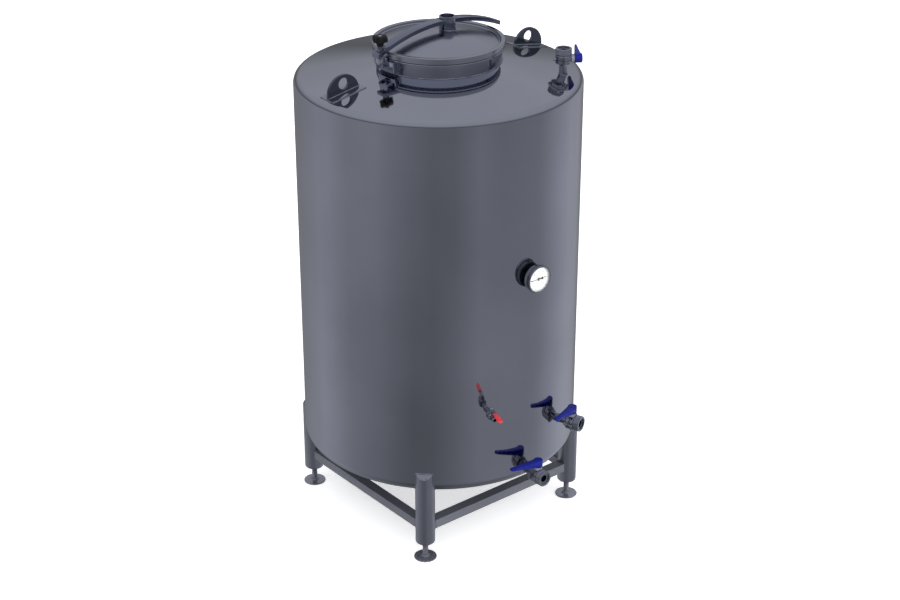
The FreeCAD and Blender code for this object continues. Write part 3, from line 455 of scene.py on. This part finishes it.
def cap_screw(size, low, depth, socket):
    """A round head with a hexagonal socket, standing on low."""
    def reach(r, z, angle):
        return r if r > socket else min(r / socket, 1) * hexagon_reach(2 * socket, angle)

    high = low + depth
    floor = high - depth * 0.55
    outline = [(0, low), (size, low), (size, high - 0.6), (size - 0.6, high), (socket + 0.01, high),
               (socket, high - 0.1), (socket, floor), (0, floor)]
    return lathe(outline, 36, radius=reach)


def tube(path, radius, closed, sides=7, ripple=0.16):
    """A weld bead along a path: a small tube whose size ripples as the welder's steps do."""
    count = len(path)
    normal = None
    points = []
    for index, here in enumerate(path):
        before = path[index - 1] if closed or index else here
        after = path[(index + 1) % count] if closed or index < count - 1 else here
        along = (after - before).normalized()
        normal = along.orthogonal() if normal is None else normal - along * normal.dot(along)
        normal.normalize()
        side = along.cross(normal)
        swell = radius * (1 + ripple * math.sin(index * 2.1))
        if not closed and index in (0, count - 1):
            swell *= 0.3
        for corner in range(sides):
            angle = 2 * math.pi * corner / sides
            points.append(here + (normal * math.cos(angle) + side * math.sin(angle)) * swell)
    return points, grid_faces(count, sides, closed)


def even(path, spacing, closed=True):
    """The path with points at an even spacing."""
    points = [Vector(point) for point in path]
    if closed:
        points.append(points[0].copy())
    lengths = [0.0]
    for first, second in zip(points, points[1:]):
        lengths.append(lengths[-1] + (second - first).length)
    count = max(int(lengths[-1] / spacing), 4)
    result = []
    place = 0
    for step in range(count if closed else count + 1):
        target = lengths[-1] * step / count
        while place < len(lengths) - 2 and lengths[place + 1] < target:
            place += 1
        stretch = lengths[place + 1] - lengths[place] or 1
        result.append(points[place].lerp(points[place + 1], (target - lengths[place]) / stretch))
    return result


def bead(path, radius, closed=True):
    """A weld bead of a radius along a path given by its corners."""
    return tube(even(path, radius * 0.8, closed), radius, closed)


# ---------------------------------------------------------------- weld beads


def wall_radius(height):
    """The tank's radius at a height near its lower knuckle."""
    drop = LOW_EDGE - height
    return TANK_R if drop <= 0 else TANK_R - KNUCKLE + math.sqrt(max(KNUCKLE ** 2 - drop ** 2, 0))


def leg_path(azimuth):
    """Where a leg and its sloping cap meet the tank."""
    turn = Matrix.Rotation(math.radians(azimuth - 90), 4, "Z")
    across, along = 16, 40
    path = []
    for step in range(across + 1):
        y = LEG_CAP_HALF - 2 * LEG_CAP_HALF * step / across
        x = math.sqrt(TANK_R ** 2 - y * y)
        path.append(Vector((x, y, LEG_TOP + TANK_R - x)))
    first = math.acos((TANK_R ** 2 - LEG_AXIS ** 2 - LEG_R ** 2) / (2 * LEG_AXIS * LEG_R))
    inner = TANK_R - KNUCKLE
    for step in range(along + 1):
        angle = -first - (2 * math.pi - 2 * first) * step / along
        x = LEG_AXIS + LEG_R * math.cos(angle)
        y = LEG_R * math.sin(angle)
        reach = math.hypot(x, y)
        if reach > inner:
            z = LOW_EDGE - math.sqrt(max(KNUCKLE ** 2 - (reach - inner) ** 2, 0))
        else:
            z = LOW_EDGE - KNUCKLE + BOTTOM_RISE * (inner - reach) / inner
        path.append(Vector((x, y, z)))
    return [turn @ point for point in path]


def bar_paths():
    """Where each rectangular tube meets its two legs."""
    half = 20
    low, high = span("crossbar_front", "z")
    outline = [(-half, low), (half, low), (half, high), (-half, high)]
    loop = even([(0, y, z) for y, z in outline], 2.5)
    for azimuth in (0, 90, 180, 270):
        turn = Matrix.Rotation(math.radians(azimuth), 4, "Z")
        for sign in (-1, 1):
            path = []
            for p in loop:
                end = LEG_SPREAD - math.sqrt(LEG_R ** 2 - p.y ** 2)
                path.append(turn @ Vector((sign * end, p.y - LEG_SPREAD, p.z)))
            yield path


def pipe_path(place, radius):
    """Where a pipe on the wall meets it."""
    path = []
    height = place.translation.z
    for step in range(48):
        angle = 2 * math.pi * step / 48
        up, across = radius * math.cos(angle), radius * math.sin(angle)
        out = math.sqrt(wall_radius(height + up) ** 2 - across ** 2) - TANK_R
        path.append(place @ Vector((up, across, out)))
    return path


def dome_at(radius):
    """The height of the lid's dome, which is part of a ball."""
    curve = (DOME_R ** 2 + DOME_RISE ** 2) / (2 * DOME_RISE)
    return LID_TOP - curve + math.sqrt(curve ** 2 - radius ** 2)


def on_cone(x, y, lift=0.0):
    return Vector((x, y, roof_at(math.hypot(x, y)) + lift))


def circle(radius, steps, out=0, height=0):
    """Points round a level circle whose centre is at X = out."""
    turns = [2 * math.pi * step / steps for step in range(steps)]
    return [Vector((out + radius * math.cos(turn), radius * math.sin(turn), height)) for turn in turns]


def roof_pipe_path(place, radius):
    spots = [place @ point for point in circle(radius, 48)]
    return [on_cone(spot.x, spot.y) for spot in spots]


def rectangle(sign, near, far, half, spacing):
    """A rectangle's outline from near to far along X, or along -X where sign is -1."""
    corners = [(near, -half), (far, -half), (far, half), (near, half)]
    return even([(sign * x, y, 0) for x, y in corners], spacing)


def lug_beads(sign):
    """The beads round a lug's pad, on the roof, and round the lug's foot, on the pad."""
    pad = [on_cone(p.x, p.y) for p in rectangle(sign, 338, 474, 36.5, 4)]
    foot = [on_cone(p.x, p.y, 3.4) for p in rectangle(sign, 344, 468, 5.4, 3)]
    return [bead(pad, 1.0), bead(foot, 2.0)]


def bracket_beads():
    """The beads up both sides of the clamp's bracket and along its lower edge, on the neck."""
    half, low, high = 48.5, TANK_TOP + 54, TANK_TOP + 89
    neck = NECK_R + 1
    beads = []
    for y in (-half, half):
        x = -math.sqrt(neck ** 2 - y * y)
        beads.append(bead([(x, y, low), (x, y, high)], 1.6, closed=False))
    edge = [(-math.sqrt(neck ** 2 - y * y), y, low) for y in range(-48, 49, 4)]
    beads.append(bead(edge, 1.6, closed=False))
    return beads


def ear_beads():
    """The beads up both faces of the hinge's two ears, on the neck."""
    low, high = TANK_TOP + 51, TANK_TOP + 88
    beads = []
    for face in (20.5, 25.5):
        x = math.sqrt(NECK_R ** 2 - face * face) + 0.5
        for y in (-face, face):
            beads.append(bead([(x, y, low), (x, y, high)], 1.2, closed=False))
    return beads


def make_welds():
    legs = [bead(leg_path(azimuth), 2.4) for azimuth in CORNERS.values()]
    add_mesh("welds_legs", legs, WELD)
    add_mesh("welds_crossbars", [bead(path, 2.0) for path in bar_paths()], WELD)
    pipes = [bead(pipe_path(VALVES[name], PIPE_R + 0.6), 1.8) for name in ("drain_valve", "side_valve")]
    pipes.append(bead(roof_pipe_path(VALVES["top_valve"], PIPE_R + 0.6), 1.8))
    pipes.append(bead(pipe_path(SAMPLE, SAMPLE_PIPE_R + 0.5), 1.5))
    pipes.append(bead(pipe_path(GAUGE, POCKET_R + 0.4), 1.5))
    add_mesh("welds_pipes", pipes, WELD)
    neck = NECK_R + 0.8
    roof = [bead(circle(neck, 120, height=roof_at(neck) + 0.6), 2.2)] + lug_beads(-1) + lug_beads(1)
    add_mesh("welds_roof", roof, WELD)
    add_mesh("welds_manway", bracket_beads() + ear_beads(), WELD)
    level = circle(BOSS_R + 0.6, 120, out=BOSS_OUT)
    boss = [Vector((p.x, p.y, dome_at(math.hypot(p.x, p.y)))) for p in level]
    add_mesh("welds_lid", [bead(boss, 1.8)], WELD, body="lid")


# ---------------------------------------------------------------- turned parts


def thread(crest, depth, pitch, low, high, lead=2.0):
    """A reshaping for lathe: a round thread that fades out at both ends."""
    def radius(r, z, angle):
        if not low < z < high or abs(r - crest) > 0.01:
            return r
        fade = min((z - low) / lead, (high - z) / lead, 1.0)
        wave = 0.5 - 0.5 * math.cos(2 * math.pi * z / pitch - angle)
        return r - depth * fade * wave
    return radius


def levels(low, high, step):
    """Heights from low to high, about a step apart."""
    count = max(int(round((high - low) / step)), 1)
    return [low + (high - low) * index / count for index in range(count + 1)]


def make_lid():
    """The lid's spun dome inside its raised rim, with the rim's edges rolled round."""
    sheet, hollow, steps = 2.5, 213, 40
    foot, valley, crest = LID_FOOT - TANK_TOP, 108, 119
    radii = [DOME_R * (1 - (step / steps) ** 1.5) for step in range(steps + 1)]
    outside = softened([(LID_R, foot, 0), (LID_R, crest, 4.0), (hollow, crest, 4.0), (hollow, valley, 6.0),
                        (DOME_R, valley, 0)], 8)
    inside = softened([(DOME_R, valley - sheet, 0), (hollow + sheet, valley - sheet, 8.0),
                       (hollow + sheet, crest - sheet, 0), (LID_R - sheet, crest - sheet, 0),
                       (LID_R - sheet, foot, 0)], 8)
    outline = [(r, TANK_TOP + z) for r, z in outside[:-1]]
    outline += [(r, dome_at(r)) for r in radii]
    outline += [(r, dome_at(r) - sheet) for r in reversed(radii)]
    outline += [(r, TANK_TOP + z) for r, z in inside[1:]]
    add_mesh("spun_lid", [lathe(outline, 240, closed=True)], LID, "lid", ["manway_lid"])


def make_feet():
    """Each foot is a round pad with a boss, a narrow neck above it, and a threaded rod."""
    rod, neck, pitch = 10, 9.2, 2.5
    low, high, top = 16, 147, span("foot_front_right", "z")[1]
    pad = softened([(0, 0, 0), (38, 0, 0), (41, 1.2, 1.0), (41, 4.2, 1.4), (38.5, 5.2, 1.0), (17, 6.2, 3.0),
                    (13.6, 8, 1.2), (12.2, 13, 0.8), (neck, 13, 0), (neck, 14.5, 0), (rod, 15.6, 0)])
    outline = pad + [(rod, z) for z in levels(low, high, pitch / 6)] + [(rod, top - 2), (8.2, top), (0, top)]
    shape = lathe(outline, 40, radius=thread(rod, 1.35, pitch, low, high))
    for corner, azimuth in CORNERS.items():
        place = Matrix.Translation(around(azimuth, LEG_AXIS, 0))
        add_mesh("threaded_foot_" + corner, [moved(shape, place)], FOOT, "foot_" + corner,
                 ["foot_" + corner])


def make_lock_nuts():
    low, high = span("foot_lock_nuts", "z")
    nuts = []
    for azimuth in CORNERS.values():
        place = Matrix.Translation(around(azimuth, LEG_AXIS, 0))
        nuts.append(moved(hex_nut(30, low, high, 10.05), place))
    add_mesh("chamfered_lock_nuts", nuts, FOOT, replaces=["foot_lock_nuts"])


def make_outlet(name, place):
    """The outer half of a valve with its union's round thread and the studs that take its bolts."""
    start, shoulder, groove, end = 55, 65.6, 71.5, 92
    crest, neck, waterway, mouth_r, seat = 28.5, 25, 13, 20.5, 86.1
    low, high, pitch = 72.8, 90.4, 4.2
    body = softened([
        (16, start, 0), (crest, start, 0.5), (crest, shoulder, 0.9), (27.4, 68, 0.8), (neck, 68, 0.3),
        (neck, groove, 0.3), (27.6, groove, 0.3), (crest, 72.6, 0)])
    rows = [(crest, z) for z in levels(low, high, 0.44)]
    mouth = softened([
        (crest, 90.6, 0), (27.2, end, 0.4), (21.4, end, 0.4), (mouth_r, 91.1, 0.2), (mouth_r, seat, 0.3),
        (waterway, seat, 0.6), (waterway, 62, 0), (16, 62, 0)])
    union = lathe(body + rows + mouth, 96, closed=True, radius=thread(crest, 1.15, pitch, low, high))
    stud = lathe(softened([(3, start, 0), (6.5, start, 0.8), (6.5, shoulder, 0.8), (3, shoulder, 0)]), 24,
                 closed=True)
    parts = [union] + [moved(stud, bolt) for bolt in BOLTS]
    add_mesh("union_" + name, [moved(part, place) for part in parts], FITTING,
             replaces=[name + "_outlet"])


def make_valve_bolts():
    """Each bolt has a socket head on the outer half, a nut behind the inner half, and its shank between."""
    pieces = [cap_screw(5, 66, 5, 2.3), hex_nut(10, 36, 41, 2.9, 36),
              lathe([(0, 34.6), (2.4, 34.6), (3, 35.2), (3, 66), (0, 66)], 20)]
    axes = [place @ bolt for place in VALVES.values() for bolt in BOLTS]
    parts = [moved(part, axis) for axis in axes for part in pieces]
    add_mesh("socket_screws", parts, BRIGHT, replaces=["valve_screws"])


# ---------------------------------------------------------------- mouldings


def loft(sections, corners=28):
    """A closed solid through sections (centre, side axis, up axis, half width, half height, squareness).

    A squareness of 2 gives an ellipse, and a larger one comes nearer to a rectangle.
    """
    points = []
    for centre, side, up, width, height, square in sections:
        for corner in range(corners):
            angle = 2 * math.pi * corner / corners
            c, s = math.cos(angle), math.sin(angle)
            x = math.copysign(abs(c) ** (2 / square), c) * width
            y = math.copysign(abs(s) ** (2 / square), s) * height
            points.append(centre + side * x + up * y)
    faces = grid_faces(len(sections), corners, False)
    faces.append(tuple(range(corners)))
    faces.append(tuple(range(len(points) - corners, len(points))))
    return points, faces


def moulded(piece, voxel, rounds):
    """Joins overlapping solids into one skin and rounds where they meet."""
    remesh = piece.modifiers.new("skin", "REMESH")
    remesh.mode = "VOXEL"
    remesh.voxel_size = voxel * MM
    remesh.use_smooth_shade = True
    smooth = piece.modifiers.new("rounding", "SMOOTH")
    smooth.factor = 0.5
    smooth.iterations = rounds


def make_handle(name, place):
    """A moulded lever: a round hub, and an arm that thins, narrows and rises towards its tip."""
    shaft, hub_r, arm_length, round_from = 54, 16.5, 108, 119
    hub = lathe(softened([(0, 36.6, 0), (15.8, 36.6, 1.0), (hub_r, 39, 1.0), (hub_r, 63.9, 2.0),
                          (9.6, 63.9, 0.6), (9.2, 63.3, 0.3), (0, 63.3, 0)], 4), 56)
    sections = []
    for y in (0, 8, 16.5, 30, 45, 60, 75, 90, 105, 114, 119, 122.5, 125, 127, 128.3):
        share = max((y - hub_r) / arm_length, 0)
        low, top = 40.7 + 22.3 * share, 63.8 + 8 * share
        half = 15.7 - 6.3 * min(1.6 * share, 1)
        if y > round_from:
            end = math.sqrt(max(1 - ((y - round_from) / 9.6) ** 2, 0.04))
            half *= end
            low, top = low + 1.6 * (1 - end), top - 1.6 * (1 - end)
        sections.append((Vector(((low + top) / 2, y, shaft)), Vector((0, 0, 1)), Vector((1, 0, 0)), half,
                         (top - low) / 2, 4.5))
    parts = [moved(hub, place @ on_its_side(shaft)), moved(loft(sections, 40), place)]
    piece = add_mesh("lever_" + name, parts, BLUE, VALVE_BODY[name],
                     [name + "_handle"], sharp=60)
    moulded(piece, 0.9, 4)


def make_knob():
    """A six-lobed hand knob with a domed crown and a steel insert."""
    reach, stem_top, crown = 23.5, 154, 178

    def lobes(r, z, angle):
        """Lobes that grow out of the round stem and flatten towards the middle of the crown."""
        rise = min(max((z - stem_top) / 5, 0), 1)
        edge = min(r / reach, 1) ** 2
        return r * (1 + 0.19 * rise * edge * math.cos(6 * angle))

    outline = softened([
        (0, 141, 0), (11, 141, 0.8), (12.4, 150, 2), (19, 157, 1.5), (23.4, 158, 1.6), (reach, 174, 5.0),
        (17.5, crown, 2.5), (7.5, crown, 0.6), (7, 177.2, 0.3), (0, 177.2, 0)], 5)
    place = Matrix.Translation((CLAMP_OUT, 0, TANK_TOP))
    add_mesh("lobed_knob", [moved(lathe(outline, 96, radius=lobes), place)], BLACK, "clamp",
             ["star_knob"], sharp=50)
    disc = softened([(0, 176.8, 0), (6.2, 176.8, 0), (6.2, 177.7, 0.3), (3.2, 177.9, 0), (0, 177.9, 0)])
    add_mesh("knob_insert", [moved(lathe(disc, 32), place)], BRIGHT, "clamp")


def make_sampling_grip():
    """The dipped sleeve on the sampling lever."""
    start, neck, round_from, lever_height = 84, 104, 138, 23.5
    sections = []
    for z in (84, 84.6, 86, 90, 100, 112, 124, 134, 140, 143, 144.4, 144.9):
        swell = 1 - 0.18 * max(0, (neck - z) / 20) ** 1.5
        if z < start + 2:
            swell *= 0.80 + 0.2 * (z - start) / 2
        if z > round_from:
            swell *= math.sqrt(max(1 - ((z - round_from) / 7.1) ** 2, 0.03))
        sections.append((Vector((lever_height, 0, z)), Vector((0, 1, 0)), Vector((1, 0, 0)), 8.5 * swell,
                         4.5 * (0.35 + 0.65 * swell), 2.6))
    add_mesh("dipped_grip", [moved(loft(sections), SAMPLE)], RED, "sampling_lever",
             ["sampling_grip"], sharp=60)


def make_sampling_nuts():
    """The nut and washer that hold the sampling lever, and the spanner flats on the body."""
    low, high = 25, 25.9
    washer = lathe(softened([(3, low, 0), (6.4, low, 0.2), (6.4, high, 0.2), (3, high, 0)]), 32, closed=True)
    stem = SAMPLE @ on_its_side(48)
    add_mesh("lever_nut", [moved(washer, stem), moved(hex_nut(10, high, 30, 2.9, 36), stem)], BRIGHT,
             "sampling_lever")
    flats = [hex_nut(28, 36.5, 45.5, 12.5), hex_nut(28, 53, 60, 12.5)]
    add_mesh("sampling_flats", [moved(part, SAMPLE) for part in flats], FITTING)


# ---------------------------------------------------------------- thermometer


def flat_bar(start, finish, width, angle, low, high):
    """A printed line on the dial, from start to finish along a direction in the dial's plane."""
    c, s = math.cos(angle), math.sin(angle)
    points = []
    for z in (low, high):
        for along, across in ((start, -1), (finish, -1), (finish, 1), (start, 1)):
            side = across * width / 2
            points.append(Vector((along * c - side * s, along * s + side * c, z)))
    faces = [(3, 2, 1, 0), (4, 5, 6, 7), (0, 1, 5, 4), (1, 2, 6, 5), (2, 3, 7, 6), (3, 0, 4, 7)]
    return points, faces


# The height of the dial's face above the wall, and of the print on it.
FACE, PRINT_TOP = 35.5, 35.62
SCALE_R = 41.0
SCALE_TOP = 120
SCALE_TURN = 270


def dial_angle(share):
    """The direction of a place on the scale, in the gauge's frame, where X is up and +Y is to the left."""
    return math.radians(SCALE_TURN / 2 - SCALE_TURN * share)


def make_dial_marks():
    """A mark every 2 degrees, longer at 10 and bold at 20, inside a thin ring."""
    count = SCALE_TOP // 2
    marks = []
    for index in range(count + 1):
        start, width = 38.8, 0.3
        if index % 5 == 0:
            start = 37.5
        if index % 10 == 0:
            start, width = 35.5, 0.7
        marks.append(flat_bar(start, SCALE_R, width, dial_angle(index / count), FACE, PRINT_TOP))
    edge = SCALE_R + 0.4
    ring = [(SCALE_R, FACE), (edge, FACE), (edge, PRINT_TOP), (SCALE_R, PRINT_TOP)]
    marks.append(lathe(ring, 96, closed=True))
    add_mesh("dial_marks", [moved(mark, GAUGE) for mark in marks], PRINT)


def make_dial_numerals():
    """The numbers from 0 to 120 by twenties, upright round the dial."""
    thickness, out, step = 0.06, 29.6, 20
    numbers = []
    for number in range(0, SCALE_TOP + 1, step):
        text = bpy.data.curves.new("numeral", "FONT")
        text.body = str(number)
        text.size = 6.2
        text.extrude = thickness
        text.align_x = "CENTER"
        text.align_y = "CENTER"
        holder = bpy.data.objects.new("numeral", text)
        bpy.context.scene.collection.objects.link(holder)
        mesh = holder.to_mesh()
        angle = dial_angle(number / SCALE_TOP)
        spot = Vector((out * math.cos(angle), out * math.sin(angle), FACE + thickness))
        flat = [spot + Vector((v.co.y, -v.co.x, v.co.z)) for v in mesh.vertices]
        numbers.append((flat, [tuple(face.vertices) for face in mesh.polygons]))
        holder.to_mesh_clear()
        bpy.data.objects.remove(holder)
    add_mesh("dial_numerals", [moved(number, GAUGE) for number in numbers], PRINT)


def make_gauge_fittings():
    """The spanner flats on the gauge's pocket, and the vent plug on top of its case."""
    hexagon = hex_nut(27, 1.2, 9.8, 13.5)
    plug = lathe(softened([(0, 45, 0), (4.2, 45, 0), (4.2, 47.4, 0.8), (0, 47.6, 0)]), 28)
    add_mesh("gauge_hexagon", [moved(hexagon, GAUGE)], FITTING)
    add_mesh("gauge_vent_plug", [moved(plug, GAUGE @ on_its_side(22))], BLACK)


def make_hinge_details():
    """Washers and retaining rings on the hinge's pin, outside its ears."""
    place = Matrix.Translation(HINGE_PIN) @ Matrix.Rotation(math.radians(-90), 4, "X")
    hole = 4.02
    parts = []
    for sign in (-1, 1):
        for near, far, reach in ((25.6, 26.7, 7.4), (27.1, 28.1, 6.0)):
            low, high = sorted((sign * near, sign * far))
            ring = softened([(hole, low, 0), (reach, low, 0.3), (reach, high, 0.3), (hole, high, 0)])
            parts.append(moved(lathe(ring, 36, closed=True), place))
    add_mesh("hinge_washers", parts, BRIGHT)


# ---------------------------------------------------------------- studio

CAMERA_AZIMUTH = -39.23
CAMERA_ELEVATION = 25.67
CAMERA_DISTANCE = 6.8075
AIM = Vector((0.0305, -0.0252, 0.7905))
LENS = 74.854

# What the walls mirror: the studio's brightness below eye level, by azimuth from the camera's side. The upper
# part of the tank mirrors the first row, and its foot the second, which lies nearer the floor. Bright panels
# stand behind the tank's shoulders, a dim one faces its middle, and the levels run smoothly between them.
LOW_PANELS = ((-180, 0.22), (-160, 0.23), (-132, 0.37), (-113, 0.465), (-99, 0.48), (-78, 0.40), (-50, 0.41),
              (-38, 0.36), (-21, 0.305), (-4, 0.25), (13, 0.25), (33, 0.335), (52, 0.292), (75, 0.31),
              (87, 0.32), (99, 0.41), (113, 0.50), (130, 0.55), (148, 0.45), (162, 0.25), (180, 0.22))
DEEP_PANELS = ((-180, 0.22), (-160, 0.25), (-132, 0.45), (-113, 0.56), (-99, 0.50), (-78, 0.365), (-50, 0.28),
               (-38, 0.235), (-21, 0.182), (-4, 0.20), (13, 0.265), (33, 0.365), (52, 0.385), (75, 0.37),
               (88, 0.38), (103, 0.50), (121, 0.62), (135, 0.60), (148, 0.47), (162, 0.25), (180, 0.22))
# What the roof and lid mirror: the brightness above eye level, by the sine of the elevation.
HIGH_PANELS = ((0.0, 0.15), (0.08, 0.17), (0.25, 0.42), (0.45, 0.55), (0.75, 0.56), (1.0, 0.60))
STUDIO_TINT = (0.955, 0.98, 1.05)
# Between these heights of a direction, as the sine of its elevation, one row gives way to the next.
DEEP_TO_LOW = (-0.52, -0.34)
LOW_TO_HIGH = (-0.08, 0.06)
# Straight down the studio has only this share of its level, and all of it from the second height up.
DOWNWARD = (-0.95, -0.6)
DOWNWARD_SHARE = 0.5
# The floor and the backdrop reach this far, in metres.
STAGE_R = 40
# Name, azimuth from the camera's side, elevation, strength, and the light's own size in degrees.
SUNS = (("key", -35, 50, 1.15, 70), ("fill", 60, 45, 0.95, 90),
        ("back", 180, 60, 0.6, 90), ("low", 45, 16, 1.8, 60))


def make_camera():
    lens = bpy.data.cameras.new("camera")
    lens.lens = LENS
    lens.sensor_width = 36
    camera = bpy.data.objects.new("camera", lens)
    bpy.context.scene.collection.objects.link(camera)
    flat = CAMERA_DISTANCE * math.cos(math.radians(CAMERA_ELEVATION))
    rise = CAMERA_DISTANCE * math.sin(math.radians(CAMERA_ELEVATION))
    camera.location = AIM + around(CAMERA_AZIMUTH, flat, rise)
    camera.rotation_euler = (AIM - camera.location).to_track_quat("-Z", "Y").to_euler()
    bpy.context.scene.camera = camera


def panel_ramp(tree, factor, stops):
    """A colour ramp from (position, brightness) stops."""
    ramp = tree.nodes.new("ShaderNodeValToRGB")
    elements = ramp.color_ramp.elements
    while len(elements) < len(stops):
        elements.new(0.5)
    for element, (position, brightness) in zip(elements, stops):
        element.position = position
        element.color = (*shade(STUDIO_TINT, brightness), 1.0)
    tree.links.new(factor, ramp.inputs["Fac"])
    return ramp.outputs["Color"]


def make_world():
    """The studio's panels, painted on the world. They are what polished steel mirrors."""
    world = bpy.data.worlds.new("studio")
    bpy.context.scene.world = world
    world.use_nodes = True
    tree = world.node_tree
    direction = tree.nodes.new("ShaderNodeTexCoord").outputs["Generated"]
    turned = tree.nodes.new("ShaderNodeMapping")
    turned.inputs["Rotation"].default_value[2] = math.radians(90 - CAMERA_AZIMUTH)
    tree.links.new(direction, turned.inputs["Vector"])
    azimuth = tree.nodes.new("ShaderNodeTexGradient")
    azimuth.gradient_type = "RADIAL"
    tree.links.new(turned.outputs["Vector"], azimuth.inputs["Vector"])
    height = tree.nodes.new("ShaderNodeSeparateXYZ")
    tree.links.new(direction, height.inputs["Vector"])

    def share(start, end, low=0.0):
        """A number that goes from low to 1 as the direction's height goes from start to end."""
        return map_range(tree, height.outputs["Z"], start, end, low, 1.0)

    def mixed(factor, first, second):
        made = tree.nodes.new("ShaderNodeMixRGB")
        for output, socket in ((factor, "Fac"), (first, "Color1"), (second, "Color2")):
            tree.links.new(output, made.inputs[socket])
        return made.outputs["Color"]

    rows = [panel_ramp(tree, azimuth.outputs["Fac"], [(0.5 + place / 360, level) for place, level in row])
            for row in (DEEP_PANELS, LOW_PANELS)]
    below = mixed(share(*DEEP_TO_LOW), *rows)
    dimmed = tree.nodes.new("ShaderNodeVectorMath")
    dimmed.operation = "SCALE"
    tree.links.new(below, dimmed.inputs[0])
    tree.links.new(share(*DOWNWARD, DOWNWARD_SHARE), dimmed.inputs["Scale"])
    above = panel_ramp(tree, height.outputs["Z"], HIGH_PANELS)
    sky = mixed(share(*LOW_TO_HIGH), dimmed.outputs["Vector"], above)
    tree.links.new(sky, tree.nodes["Background"].inputs["Color"])


def pale_paper(name, glow):
    """Plain pale paper, lit softly from within."""
    paper = Shader(name, Roughness=0.8, Emission_Strength=glow)
    paper.set("Emission Color", (1.0, 1.0, 1.0))
    return paper.finish(paper.ramp(paper.noise(0.6, 3.0), (0.84, 0.84, 0.835), (0.86, 0.86, 0.855)))


def make_floor():
    """A pale floor, and a pale backdrop far behind. Polished steel mirrors the panels in their place."""
    bpy.ops.mesh.primitive_circle_add(vertices=96, radius=STAGE_R, fill_type="NGON")
    floor = bpy.context.object
    floor.name = "floor"
    floor.data.materials.append(pale_paper("floor_paper", 0.5))
    bpy.ops.mesh.primitive_cylinder_add(vertices=96, radius=STAGE_R, depth=STAGE_R, end_fill_type="NOTHING",
                                        location=(0, 0, STAGE_R / 2))
    backdrop = bpy.context.object
    backdrop.name = "backdrop"
    backdrop.data.materials.append(pale_paper("backdrop_paper", 0.9))
    # The backdrop is only seen: it neither lights the tank nor shades it.
    backdrop.visible_diffuse = False
    backdrop.visible_shadow = False
    for sheet in (floor, backdrop):
        sheet.visible_glossy = False


def sun(name, azimuth, elevation, strength, size):
    """A soft light from far away, left out of the mirror images."""
    data = bpy.data.lights.new(name, "SUN")
    data.energy = strength
    data.angle = math.radians(size)
    light = bpy.data.objects.new(name, data)
    bpy.context.scene.collection.objects.link(light)
    towards = around(azimuth, math.cos(math.radians(elevation)), math.sin(math.radians(elevation)))
    light.rotation_euler = towards.to_track_quat("Z", "Y").to_euler()
    light.visible_glossy = False


def make_studio():
    make_world()
    make_floor()
    for name, azimuth, elevation, strength, size in SUNS:
        sun(name, CAMERA_AZIMUTH + azimuth, elevation, strength, size)
    bpy.context.scene.view_settings.view_transform = "Standard"


paint_frame()
make_welds()
make_lid()
make_feet()
make_lock_nuts()
for valve, spot in VALVES.items():
    make_outlet(valve, spot)
    make_handle(valve, spot)
make_valve_bolts()
make_knob()
make_sampling_grip()
make_sampling_nuts()
make_dial_marks()
make_dial_numerals()
make_gauge_fittings()
make_hinge_details()
make_camera()
make_studio()
